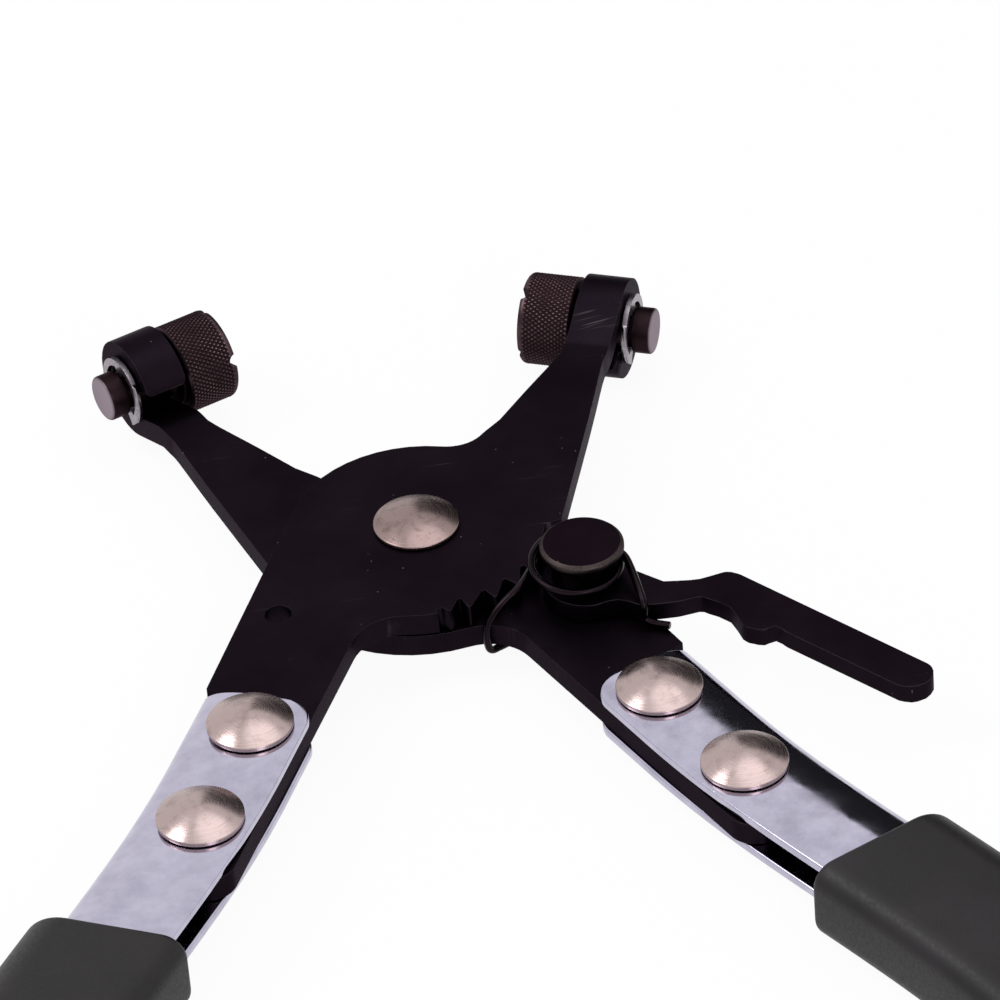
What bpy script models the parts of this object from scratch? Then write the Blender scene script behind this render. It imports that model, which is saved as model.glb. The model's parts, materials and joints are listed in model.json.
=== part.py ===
"""Hose clamp pliers with swivel jaws and a ratchet lock.

Two stamped plates cross at a rivet. They share one outline, but the lower one is turned over
and only the upper one's rim has ratchet teeth. Each plate is a handle's tang, a lapped disc
and a jaw arm whose end is rolled into an eye for a swivelling jaw.
The pliers are drawn about the pivot: its axis is Z, the plates meet at the plane Z = 0, the
jaws point to +Y and the handles to -Y. The plan of a plate is drawn for the upper one,
whose handle is on the left and whose jaw is on the right, with the pliers fully open. At
the end they are lifted onto the ground, with the origin under the middle of their box.
"""
import math

import bmesh
import bpy
from mathutils import Matrix, Vector
from mathutils.geometry import interpolate_bezier

# Clearances, in metres like every length here
RUN_GAP = 0.0003
SEAT_GAP = 0.0002
CUT_OVERRUN = 0.002
MERGE_DISTANCE = 0.00001

# How the open pliers stand, in degrees from the line between the handles
HANDLE_SPLAY = 26.0
JAW_SPLAY = 23.2

# Plates, of stamped steel
PLATE_THICKNESS = 0.0034
PLATE_EDGE_ROUND = 0.00025
DISC_RADIUS = 0.018
RIM_RADIUS = 0.0203
PIVOT_SHANK_RADIUS = 0.0035

# Ratchet teeth in the rim, steep on the side that looks back to the tang
TOOTH_COUNT = 6
TOOTH_PITCH = 11.6
FIRST_VALLEY_ANGLE = -77.5
TOOTH_DEPTH = 0.0022
VALLEY_FLOOR = 0.0005
TOOTH_LAND = 0.0005
STEEP_FACE_LEAN = 0.00025
LEAD_NOTCH_ANGLE = -89.0
LEAD_NOTCH_END_ANGLE = -86.5
LEAD_NOTCH_DEPTH = 0.0011
LEAD_TIP_ANGLE = -84.0
LAST_RELIEF_ANGLE = -12.0

# Tang, measured along the handle from the pivot and outward from the handle's line; the
# rivets stand at shares of the length that the channel covers
TANG_INNER = 0.0005
TANG_FILLET = 0.007
TANG_SHOULDER_AT = 0.038
TANG_SHOULDER_LENGTH = 0.003
TANG_LENGTH = 0.079
TANG_END_ROUND = 0.004
RIVET_SHARES = (0.156, 0.711)
RIVET_LINE = 0.0075

# Jaw arm, measured along the arm from the pivot and across it; the shares are of the
# arm's flat length and of its flare at the root
ARM_OFFSET = 0.0132
ARM_OUTER_FLARE = 0.00335
ARM_OUTER_SHARES = ((0.112, 1.0), (0.636, 0.385), (0.90, 0.02), (0.96, 0.0))
ARM_INNER_FLARE = 0.00465
ARM_INNER_SHARES = ((0.96, 0.0), (0.898, 0.14), (0.741, 0.57), (0.573, 1.0))
ARM_ROOT_FILLET = 0.0055
ARM_ROOT_OFFSET = -0.0016
ARM_ROOT_LEAN = 15.0
ARM_EDGE_STEPS = 3

# Eye, rolled from the end of the arm about an axis a little below the parting plane
EYE_AT = 0.0552
EYE_WIDTH = 0.0065
EYE_OUTER_RADIUS = 0.0074
EYE_DROP = 0.0007
EYE_BEND_BACK = 0.0099
EYE_BEND_RADIUS = 0.004
EYE_WRAP = 269.0
EYE_END_ROUND = 0.0009
EYE_BEND_STEPS = 3
EYE_ROLL_STEPS = 26
EYE_END_STEPS = 3

# Handle channels, pressed from sheet
SHEET_THICKNESS = 0.0014
CHANNEL_START = 0.043
CHANNEL_LENGTH = 0.128
CHANNEL_WIDTH = 0.0167
CHANNEL_INNER_EDGE = 0.0001
CHANNEL_FRONT_ROUND = 0.004
CHANNEL_FRONT_STEPS = 4
CHANNEL_FOLD_STEPS = 6
CHANNEL_STEPS = 16

# How the handles bow outward; the shares are of the channel's length and of the full bow
HANDLE_BOW = 0.0066
BOW_START_SHARE = 0.10
BOW_PEAK_SHARE = 0.70
BOW_RETURN_SHARE = 0.38
BOW_RETURN_SPAN_SHARE = 0.40

# Grips, dipped sleeves
GRIP_START = 0.094
GRIP_WALL = 0.0027
GRIP_INNER_ROUND = 0.0008
GRIP_CORNER_STEPS = 2
GRIP_SIDE_STEPS = 6
GRIP_STEPS = 13
GRIP_END_ROUND = 0.0025
GRIP_END_STEPS = 3

# Rivets
RIVET_SHANK_RADIUS = 0.0024
RIVET_HEAD_RADIUS = 0.0060
RIVET_RIM = 0.0006
RIVET_DOME_RADIUS = 0.0052
RIVET_DOME_HEIGHT = 0.0017
PIVOT_HEAD_RADIUS = 0.0061
PIVOT_RIM = 0.0008
PIVOT_DOME_RADIUS = 0.0060
PIVOT_DOME_HEIGHT = 0.0011
TAIL_SHARE = 0.85
TAIL_HEIGHT_SHARE = 0.6
DOME_STEPS = 5
TAIL_STEPS = 2

# Swivel jaws: a turned pin with a cross-slotted head
JAW_PIN_RADIUS = 0.0034
JAW_PIN_OVERHANG = 0.0041
JAW_PIN_CHAMFER = 0.0004
JAW_COLLAR_RADIUS = 0.0050
JAW_COLLAR_LENGTH = 0.0005
JAW_HEAD_RADIUS = 0.0069
JAW_HEAD_LENGTH = 0.0079
JAW_HEAD_CHAMFER = 0.0004
JAW_HEAD_ROUND = 0.0010
JAW_ROUND_SHARE = 0.293
JAW_SLOT_RADIUS = 0.0010
JAW_SLOT_DEPTH = 0.0012
JAW_TURN = 20.0

# Retaining clips in the grooves of the pins
CLIP_RADIUS = 0.0052
CLIP_THICKNESS = 0.0007
CLIP_GROOVE_DEPTH = 0.0007
CLIP_MOUTH_ANGLE = 62.0
CLIP_PRONG_ANGLE = 26.0
CLIP_POCKET_RADIUS = 0.0041
CLIP_TURN = 180.0

# Pawl with its lever; the shares are of the lever's reach from its pin, in the plan of the
# lower plate. The pawl is drawn lifted clear of the teeth by PAWL_LIFT degrees, and its
# valley is counted from zero
PAWL_PIN_PAST_RIM = 0.0062
PAWL_PIN_ANGLE = -36.0
PAWL_THICKNESS = 0.0028
PAWL_HUB_RADIUS = 0.0065
PAWL_HUB_SHIFT = 0.0008
PAWL_VALLEY = 5
PAWL_LIFT = 12.0
PAWL_NOSE_GAP = 0.0009
PAWL_FINGER_GAP = 0.0005
PAWL_FINGER_WIDTH = 0.0034
LEVER_REACH = 0.054
LEVER_NEAR_SHARES = (
    (0.039, -0.120), (0.070, -0.1185), (0.100, -0.133),
    (0.130, -0.154), (0.220, -0.160), (0.275, -0.152), (0.297, -0.165), (0.347, -0.212), (0.366, -0.287),
    (0.388, -0.308), (0.416, -0.321), (0.447, -0.311), (0.470, -0.341),
)
LEVER_END_SHARES = (
    (0.7085, -0.6096), (0.738, -0.624), (0.777, -0.617), (0.803, -0.587), (0.805, -0.556), (0.796, -0.539),
)
LEVER_FAR_SHARES = (
    (0.396, -0.086), (0.374, -0.070), (0.349, -0.067), (0.290, -0.080), (0.240, -0.076), (0.197, -0.069),
)

# Pawl pin, with a large flat head
PIN_SHANK_RADIUS = 0.0016
PIN_JOURNAL_RADIUS = 0.0030
PIN_NECK_RADIUS = 0.0043
PIN_TAIL_RADIUS = 0.0030
PIN_TAIL_THICKNESS = 0.0009
KNOB_RADIUS = 0.0059
KNOB_THICKNESS = 0.0013
KNOB_CHAMFER = 0.0004
KNOB_TOP = 0.0089

# Torsion spring round the pawl pin; its plate leg is given by angles and levels round the
# rim, and its lever leg stands against one of the lever's near spots, counted from zero
WIRE_RADIUS = 0.00055
COIL_RADIUS = 0.0062
COIL_SHIFT = 0.0010
COIL_START_ANGLE = 165.0
COIL_STEPS = 35
COIL_PITCH = 0.0014
COIL_TILT = 0.0004
POINTS_PER_TURN = 24
PLATE_LEG_PAST_RIM = 0.0014
PLATE_LEG_RISE = ((-68.5, 0.0018), (-63.5, 0.0032), (-56.0, 0.0044))
HOOK_ANGLE = -71.5
HOOK_REACH = 0.0037
LEVER_SPOT = 3
LEVER_LEG_LEAN = (0.0009, -0.0020)
FOOT_REACH = 0.0036
FOOT_ANGLE = -27.0
LEG_STEPS = 4

# Fineness of round forms
TURN_STEPS = 32
HOLE_STEPS = 24
ARC_STEP_DEGREES = 8.0
SHARP_EDGE_DEGREES = 35.0

# Heights and radii that follow from the sizes above
PLATE_LEVEL = RUN_GAP / 2 + PLATE_THICKNESS / 2
PLATE_FACE = PLATE_LEVEL + PLATE_THICKNESS / 2
STACK_HALF = PLATE_THICKNESS / 2 + SEAT_GAP + SHEET_THICKNESS
FOLD_CENTRE = CHANNEL_INNER_EDGE + CHANNEL_WIDTH - STACK_HALF
GRIP_HALF = STACK_HALF + SEAT_GAP
VALLEY_RADIUS = RIM_RADIUS - TOOTH_DEPTH
PAWL_PIN_AT = RIM_RADIUS + PAWL_PIN_PAST_RIM
PAWL_FLOOR = RUN_GAP / 2
PAWL_TOP = PAWL_FLOOR + PAWL_THICKNESS
CLIP_START = EYE_WIDTH / 2 + RUN_GAP
JAW_HEAD_START = EYE_WIDTH / 2 + RUN_GAP + JAW_COLLAR_LENGTH
JAW_HEAD_END = JAW_HEAD_START + JAW_HEAD_LENGTH
EYE_DEPTH = PLATE_LEVEL + EYE_DROP
BEND_RISE = math.asin((EYE_OUTER_RADIUS - PLATE_THICKNESS / 2) / math.hypot(EYE_BEND_BACK, EYE_DEPTH))
BEND_RISE -= math.atan2(EYE_DEPTH, EYE_BEND_BACK)
ARM_FLAT_LENGTH = EYE_AT - EYE_BEND_BACK - EYE_BEND_RADIUS * math.tan(BEND_RISE / 2)


# Points and runs in the plan

def polar(radius, degrees):
    """The plan point at a radius and an angle from +X."""
    return Vector((radius * math.cos(math.radians(degrees)), radius * math.sin(math.radians(degrees)), 0))


def from_handle(along, across):
    """The plan point along the upper handle from the pivot and outward across it."""
    return along * polar(1, -90 - HANDLE_SPLAY) + across * polar(1, 180 - HANDLE_SPLAY)


def from_jaw(along, across):
    """The plan point along the upper jaw arm from the pivot and outward across it."""
    return along * polar(1, 90 - JAW_SPLAY) + across * polar(1, -JAW_SPLAY)


def turned_over(spot):
    """The same spot on the lower arm, which is the upper one turned over about Y."""
    return Vector((-spot.x, spot.y, -spot.z))


def arc(centre, radius, start, end):
    """Points round part of a circle between two angles in degrees, both ends included."""
    steps = max(1, math.ceil(abs(end - start) / ARC_STEP_DEGREES))
    return [centre + polar(radius, start + (end - start) * step / steps) for step in range(steps + 1)]


def circle(centre, radius, steps=HOLE_STEPS):
    """Points round a whole circle."""
    return [centre + polar(radius, 360 * step / steps) for step in range(steps)]


def smooth_run(spots, steps):
    """A smooth run through all the spots, with so many steps between two of them."""
    ends = [spots[0], *spots, spots[-1]]
    run = []
    for before, start, end, after in zip(ends, ends[1:], ends[2:], ends[3:]):
        leave = start + (end - before) / 6
        arrive = end - (after - start) / 6
        run += interpolate_bezier(start, leave, arrive, end, steps + 1)[:-1]
    return run + [spots[-1]]


# Meshes and objects

def add_object(name, data, material, collection):
    """An object with one material, in one of the two collections."""
    item = bpy.data.objects.new(name, data)
    if material:
        data.materials.clear()
        data.materials.append(material)
    collection.objects.link(item)
    return item


def settle(item):
    """Makes the evaluated shape the object's own mesh, welded and smooth but for its sharp edges."""
    graph = bpy.context.evaluated_depsgraph_get()
    mesh = bpy.data.meshes.new_from_object(item.evaluated_get(graph))
    shape = bmesh.new()
    shape.from_mesh(mesh)
    bmesh.ops.remove_doubles(shape, verts=shape.verts, dist=MERGE_DISTANCE)
    bmesh.ops.recalc_face_normals(shape, faces=shape.faces)
    shape.to_mesh(mesh)
    shape.free()
    mesh.shade_smooth()
    mesh.set_sharp_from_angle(angle=math.radians(SHARP_EDGE_DEGREES))
    if item.type == "MESH":
        item.modifiers.clear()
        item.data = mesh
        return item
    name = item.name
    place = item.matrix_world.copy()
    collection = item.users_collection[0]
    bpy.data.objects.remove(item)
    solid = add_object(name, mesh, None, collection)
    solid.matrix_world = place
    return solid


def flat_piece(name, outlines, thickness, material, collection):
    """A flat plate with square edges about Z = 0; every outline after the first is a hole."""
    curve = bpy.data.curves.new(name, "CURVE")
    curve.dimensions = "2D"
    curve.fill_mode = "BOTH"
    curve.extrude = thickness / 2
    for outline in outlines:
        spline = curve.splines.new("POLY")
        spline.points.add(len(outline) - 1)
        for point, spot in zip(spline.points, outline):
            point.co = (spot.x, spot.y, 0, 1)
        spline.use_cyclic_u = True
    return settle(add_object(name, curve, material, collection))


def turned_piece(name, profile, material, collection):
    """A solid turned about Z from (radius, level) pairs that run down its outer side."""
    mesh = bpy.data.meshes.new(name)
    links = [(index, index + 1) for index in range(len(profile) - 1)]
    mesh.from_pydata([(radius, 0, level) for radius, level in profile], links, [])
    item = add_object(name, mesh, material, collection)
    screw = item.modifiers.new("Turn", "SCREW")
    screw.steps = TURN_STEPS
    screw.render_steps = TURN_STEPS
    screw.use_merge_vertices = True
    screw.merge_threshold = MERGE_DISTANCE
    return settle(item)


def lofted_piece(name, sections, closed, material, collection):
    """A surface through a row of sections; closed sections end in a flat cap."""
    shape = bmesh.new()
    rows = [[shape.verts.new(spot) for spot in section] for section in sections]
    count = len(sections[0])
    for row, after in zip(rows, rows[1:]):
        for index in range(count if closed else count - 1):
            other = (index + 1) % count
            shape.faces.new((row[index], row[other], after[other], after[index]))
    if closed:
        shape.faces.new(rows[-1])
    mesh = bpy.data.meshes.new(name)
    shape.to_mesh(mesh)
    shape.free()
    return add_object(name, mesh, material, collection)


def thicken(item, thickness, offset):
    """Gives an open surface its wall; an offset of 1 is all outside, 0 is half each side."""
    solidify = item.modifiers.new("Wall", "SOLIDIFY")
    solidify.thickness = thickness
    solidify.offset = offset
    solidify.use_even_offset = True
    return settle(item)


def cylinder_cutter(name, radius, length, place, collection):
    """A cutter of its own about the Z of the given place."""
    shape = bmesh.new()
    bmesh.ops.create_cone(
        shape, cap_ends=True, segments=HOLE_STEPS, radius1=radius, radius2=radius, depth=length)
    mesh = bpy.data.meshes.new(name)
    shape.to_mesh(mesh)
    shape.free()
    cutter = add_object(name, mesh, None, collection)
    cutter.matrix_world = place
    cutter.hide_render = True
    cutter.display_type = "WIRE"
    return cutter


def cut(item, cutters):
    """Takes every cutter out of the item."""
    for cutter in cutters:
        boolean = item.modifiers.new("Cut", "BOOLEAN")
        boolean.operation = "DIFFERENCE"
        boolean.object = cutter
    bpy.context.view_layer.update()
    return settle(item)


def round_edges(item, width):
    """Takes the sharp edge off a plate's outline, but not off its corners in the plan."""
    shape = bmesh.new()
    shape.from_mesh(item.data)
    weights = shape.edges.layers.float.new("bevel_weight_edge")
    for edge in shape.edges:
        run = (edge.verts[1].co - edge.verts[0].co).normalized()
        sharp = edge.calc_face_angle(0) > math.radians(SHARP_EDGE_DEGREES)
        edge[weights] = float(sharp and abs(run.z) < 0.99)
    shape.to_mesh(item.data)
    shape.free()
    bevel = item.modifiers.new("Edges", "BEVEL")
    bevel.limit_method = "WEIGHT"
    bevel.width = width
    bevel.segments = 1
    return settle(item)


# Plates

def onto_rim(end_angle):
    """A fillet from the tang's inner edge, then the plain rim round to an angle."""
    reach = RIM_RADIUS + TANG_FILLET
    inset = TANG_INNER - TANG_FILLET
    centre = from_handle(math.sqrt(reach ** 2 - inset ** 2), inset)
    bearing = math.degrees(math.atan2(centre.y, centre.x))
    fillet = arc(centre, TANG_FILLET, 180 - HANDLE_SPLAY, bearing + 180)
    return fillet + arc(Vector(), RIM_RADIUS, bearing, end_angle)[1:]


def toothed_rim():
    """The rim with its lead notch, then the teeth up to the jaw arm."""
    floor = math.degrees(VALLEY_FLOOR / VALLEY_RADIUS)
    lean = math.degrees(STEEP_FACE_LEAN / RIM_RADIUS)
    land = math.degrees(TOOTH_LAND / RIM_RADIUS)
    rim = onto_rim(LEAD_NOTCH_ANGLE)
    rim.append(polar(RIM_RADIUS - LEAD_NOTCH_DEPTH, LEAD_NOTCH_ANGLE))
    rim.append(polar(RIM_RADIUS - LEAD_NOTCH_DEPTH, LEAD_NOTCH_END_ANGLE))
    rim.append(polar(RIM_RADIUS, LEAD_TIP_ANGLE))
    for tooth in range(TOOTH_COUNT):
        valley = FIRST_VALLEY_ANGLE + tooth * TOOTH_PITCH
        rim.append(polar(VALLEY_RADIUS, valley - floor))
        rim.append(polar(VALLEY_RADIUS, valley))
        if tooth < TOOTH_COUNT - 1:
            rim.append(polar(RIM_RADIUS, valley + lean))
            rim.append(polar(RIM_RADIUS, valley + lean + land))
    rim.append(polar(VALLEY_RADIUS, LAST_RELIEF_ANGLE))
    return rim


def jaw_arm_edges():
    """The arm's outer edge out to the eye, and its inner edge back to the disc."""
    half = EYE_WIDTH / 2
    outer = [
        from_jaw(ARM_FLAT_LENGTH * share, ARM_OFFSET + half + ARM_OUTER_FLARE * flare_share)
        for share, flare_share in ARM_OUTER_SHARES
    ]
    inner = [
        from_jaw(ARM_FLAT_LENGTH * share, ARM_OFFSET - half - ARM_INNER_FLARE * flare_share)
        for share, flare_share in ARM_INNER_SHARES
    ]
    tip = [from_jaw(ARM_FLAT_LENGTH, ARM_OFFSET + half), from_jaw(ARM_FLAT_LENGTH, ARM_OFFSET - half)]
    return smooth_run(outer, ARM_EDGE_STEPS) + tip + smooth_run(inner, ARM_EDGE_STEPS)


def disc_and_fillet():
    """The fillet under the arm, then the disc's free edge round to the tang."""
    reach = DISC_RADIUS + ARM_ROOT_FILLET
    centre = from_jaw(math.sqrt(reach ** 2 - ARM_ROOT_OFFSET ** 2), ARM_ROOT_OFFSET)
    bearing = math.degrees(math.atan2(centre.y, centre.x))
    fillet = arc(centre, ARM_ROOT_FILLET, -JAW_SPLAY - ARM_ROOT_LEAN, bearing - 180)
    return fillet + arc(Vector(), DISC_RADIUS, bearing, 180 - HANDLE_SPLAY)[1:]


def tang_edges():
    """Down the tang's outer edge, over the shoulder, round its end and back inside."""
    corner_at = TANG_LENGTH - TANG_END_ROUND
    outward = 180 - HANDLE_SPLAY
    edges = [
        from_handle(TANG_SHOULDER_AT, DISC_RADIUS),
        from_handle(TANG_SHOULDER_AT + TANG_SHOULDER_LENGTH, FOLD_CENTRE),
    ]
    edges += arc(from_handle(corner_at, FOLD_CENTRE - TANG_END_ROUND), TANG_END_ROUND, outward, outward + 90)
    inside = from_handle(corner_at, TANG_INNER + TANG_END_ROUND)
    edges += arc(inside, TANG_END_ROUND, outward + 90, outward + 180)
    return edges


def rivet_spots():
    """Where the two rivets go through a handle, on the upper arm."""
    level = Vector((0, 0, PLATE_LEVEL))
    covered = TANG_LENGTH - CHANNEL_START
    return [from_handle(CHANNEL_START + covered * share, RIVET_LINE) + level for share in RIVET_SHARES]


def pin_spot():
    """Where the pawl's pin stands in the lower plate."""
    return polar(PAWL_PIN_AT, PAWL_PIN_ANGLE)


def eye_stations():
    """Where the strip runs as it is rolled: along, level, heading in radians and narrowing."""
    stations = []
    bend_start = ARM_FLAT_LENGTH
    for step in range(1, EYE_BEND_STEPS + 1):
        heading = BEND_RISE * step / EYE_BEND_STEPS
        along = bend_start + EYE_BEND_RADIUS * math.sin(heading)
        level = PLATE_LEVEL + EYE_BEND_RADIUS * (1 - math.cos(heading))
        stations.append((along, level, heading, 0.0))
    roll = EYE_OUTER_RADIUS - PLATE_THICKNESS / 2
    end_turn = EYE_END_ROUND / roll
    full_turn = math.radians(EYE_WRAP) - end_turn
    turns = [(full_turn * step / EYE_ROLL_STEPS, 0.0) for step in range(EYE_ROLL_STEPS + 1)]
    for step in range(1, EYE_END_STEPS + 1):
        corner = math.pi / 2 * step / EYE_END_STEPS
        turns.append((full_turn + end_turn * math.sin(corner), EYE_END_ROUND * (1 - math.cos(corner))))
    for turn, narrowing in turns:
        heading = BEND_RISE - turn
        level = roll * math.cos(heading) - EYE_DROP
        stations.append((EYE_AT - roll * math.sin(heading), level, heading, narrowing))
    return stations


def roll_eye(item):
    """Draws the flat end of the arm out into a strip and rolls it round the jaw's pin."""
    shape = bmesh.new()
    shape.from_mesh(item.data)
    tip = from_jaw(ARM_FLAT_LENGTH, ARM_OFFSET) + Vector((0, 0, PLATE_LEVEL))
    face = min(shape.faces, key=lambda each: (each.calc_center_median() - tip).length)
    outward = from_jaw(0, 1)
    sides = []
    for vert in face.verts:
        sides.append((
            math.copysign(1, (vert.co - tip).dot(outward)),
            math.copysign(1, vert.co.z - PLATE_LEVEL),
        ))
    for along, level, heading, narrowing in eye_stations():
        face = bmesh.ops.extrude_discrete_faces(shape, faces=[face])["faces"][0]
        for vert, (across_side, upper_side) in zip(face.verts, sides):
            across = ARM_OFFSET + across_side * (EYE_WIDTH / 2 - narrowing)
            rise = upper_side * PLATE_THICKNESS / 2
            spot = from_jaw(along - rise * math.sin(heading), across)
            vert.co = (spot.x, spot.y, level + rise * math.cos(heading))
    shape.to_mesh(item.data)
    shape.free()


def make_plate(name, rim, material, collection):
    """A plate as the upper one lies, with its holes and its rolled eye."""
    outline = rim + jaw_arm_edges() + disc_and_fillet() + tang_edges()
    spare_pin_spot = turned_over(pin_spot())
    holes = [
        circle(Vector(), PIVOT_SHANK_RADIUS + RUN_GAP),
        circle(spare_pin_spot, PIN_SHANK_RADIUS + RUN_GAP),
    ]
    holes += [circle(spot, RIVET_SHANK_RADIUS + SEAT_GAP) for spot in rivet_spots()]
    plate = flat_piece(name, [outline, *holes], PLATE_THICKNESS, material, collection)
    plate.data.transform(Matrix.Translation((0, 0, PLATE_LEVEL)))
    roll_eye(plate)
    return round_edges(plate, PLATE_EDGE_ROUND)


# Handles

def bow_at(along):
    """How far the handle has bowed outward: a smooth rise to the full bow, then a slow return."""
    share = (along - CHANNEL_START) / CHANNEL_LENGTH
    if share < BOW_PEAK_SHARE:
        climb_share = max(0, share - BOW_START_SHARE) / (BOW_PEAK_SHARE - BOW_START_SHARE)
        return HANDLE_BOW * math.sin(math.pi / 2 * climb_share) ** 2
    return HANDLE_BOW * (1 - BOW_RETURN_SHARE * ((share - BOW_PEAK_SHARE) / BOW_RETURN_SPAN_SHARE) ** 2)


def handle_section(along, spots):
    """Stands a section, as (across, level) pairs, on the bowed line of the upper handle."""
    bow = bow_at(along)
    return [
        from_handle(along, across + bow) + Vector((0, 0, PLATE_LEVEL + level)) for across, level in spots
    ]


def fold(radius, steps):
    """The round outer side of a handle's section, from above to below."""
    turns = [math.pi * step / steps for step in range(steps + 1)]
    return [(FOLD_CENTRE + radius * math.sin(turn), radius * math.cos(turn)) for turn in turns]


def make_channel(material, collection, cutters):
    """The upper arm's channel, open on its inner side and with its front inner corners rounded."""
    wall = STACK_HALF - SHEET_THICKNESS / 2
    stations = []
    for step in range(CHANNEL_FRONT_STEPS):
        corner = math.pi / 2 * step / CHANNEL_FRONT_STEPS
        inset = CHANNEL_FRONT_ROUND * (1 - math.sin(corner))
        stations.append((CHANNEL_START + CHANNEL_FRONT_ROUND * (1 - math.cos(corner)), inset))
    straight = CHANNEL_LENGTH - CHANNEL_FRONT_ROUND
    for step in range(CHANNEL_STEPS + 1):
        stations.append((CHANNEL_START + CHANNEL_FRONT_ROUND + straight * step / CHANNEL_STEPS, 0.0))
    sections = []
    for along, inset in stations:
        edge = CHANNEL_INNER_EDGE + inset
        section = [(edge, wall), *fold(wall, CHANNEL_FOLD_STEPS), (edge, -wall)]
        sections.append(handle_section(along, section))
    channel = thicken(
        lofted_piece("left_handle_channel", sections, False, material, collection), SHEET_THICKNESS, 0)
    drills = []
    for index, spot in enumerate(rivet_spots()):
        length = 2 * (STACK_HALF + CUT_OVERRUN)
        radius = RIVET_SHANK_RADIUS + SEAT_GAP
        drills.append(cylinder_cutter(
            f"rivet_drill_{index + 1}", radius, length, Matrix.Translation(spot), cutters))
    return cut(channel, drills)


def make_grip(material, collection):
    """The upper arm's grip, a sleeve with a rounded closed end."""
    inner_side = CHANNEL_INNER_EDGE - GRIP_INNER_ROUND
    corner_level = GRIP_HALF - GRIP_INNER_ROUND
    ring = list(fold(GRIP_HALF, GRIP_SIDE_STEPS))
    for start in (math.pi, math.pi * 3 / 2):
        for step in range(GRIP_CORNER_STEPS + 1):
            turn = start + math.pi / 2 * step / GRIP_CORNER_STEPS
            level = math.copysign(corner_level, -1 if start < 4 else 1)
            ring.append((
                CHANNEL_INNER_EDGE + GRIP_INNER_ROUND * math.sin(turn),
                level + GRIP_INNER_ROUND * math.cos(turn),
            ))
    middle = (inner_side + FOLD_CENTRE + GRIP_HALF) / 2
    half_width = middle - inner_side
    end = CHANNEL_START + CHANNEL_LENGTH + RUN_GAP
    stations = [(GRIP_START + (end - GRIP_START) * step / GRIP_STEPS, 0.0) for step in range(GRIP_STEPS + 1)]
    for step in range(1, GRIP_END_STEPS + 1):
        corner = math.pi / 2 * step / GRIP_END_STEPS
        stations.append((end + GRIP_END_ROUND * math.sin(corner), GRIP_END_ROUND * (1 - math.cos(corner))))
    sections = []
    for along, inset in stations:
        narrow = 1 - inset / half_width
        flat = 1 - inset / GRIP_HALF
        section = [(middle + (across - middle) * narrow, level * flat) for across, level in ring]
        sections.append(handle_section(along, section))
    return thicken(lofted_piece("left_grip", sections, True, material, collection), GRIP_WALL, 1)


def dome(radius, height, base, steps):
    """A low dome from its top to its rim, as part of a sphere's section."""
    ball = (radius ** 2 + height ** 2) / (2 * height)
    spread = math.asin(radius / ball)
    turns = [spread * step / steps for step in range(steps + 1)]
    return [(ball * math.sin(turn), base + height - ball * (1 - math.cos(turn))) for turn in turns]


def rivet_profile(shank, head, rim, dome_radius, dome_height, half_stack):
    """A domed head with a thin rim above, the shank, and a smaller formed head below."""
    top = half_stack + SEAT_GAP
    upper = dome(dome_radius, dome_height, top + rim, DOME_STEPS) + [(head, top + rim), (head, top)]
    tail_rim = top + rim * TAIL_HEIGHT_SHARE
    lower = dome(dome_radius * TAIL_SHARE, dome_height * TAIL_HEIGHT_SHARE, tail_rim, TAIL_STEPS)
    lower += [(head * TAIL_SHARE, tail_rim), (head * TAIL_SHARE, top)]
    return upper + [(shank, top), (shank, -top)] + [(radius, -level) for radius, level in reversed(lower)]


def make_rivets(upper_arm, lower_arm, material, collection):
    """Two rivets through each handle, all with their heads up."""
    profile = rivet_profile(
        RIVET_SHANK_RADIUS, RIVET_HEAD_RADIUS, RIVET_RIM, RIVET_DOME_RADIUS, RIVET_DOME_HEIGHT, STACK_HALF)
    for place, spot in zip(("front", "rear"), rivet_spots()):
        left = turned_piece(f"left_{place}_rivet", profile, material, collection)
        left.location = spot
        left.parent = upper_arm
        right = turned_piece(f"right_{place}_rivet", profile, material, collection)
        right.location = turned_over(spot)
        right.parent = lower_arm


# Swivel jaws and their clips

def stand_on_pin_axis(item, side, turn):
    """Puts a piece made about Z on one eye's axis, its +Z end outward, and turns it there."""
    centre = from_jaw(EYE_AT, ARM_OFFSET)
    outward = from_jaw(0, 1)
    facing = Vector((side * outward.x, outward.y, 0)).to_track_quat("Z", "X").to_matrix().to_4x4()
    place = Matrix.Translation((side * centre.x, centre.y, -side * EYE_DROP))
    item.matrix_world = place @ facing @ Matrix.Rotation(math.radians(turn), 4, "Z")


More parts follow.
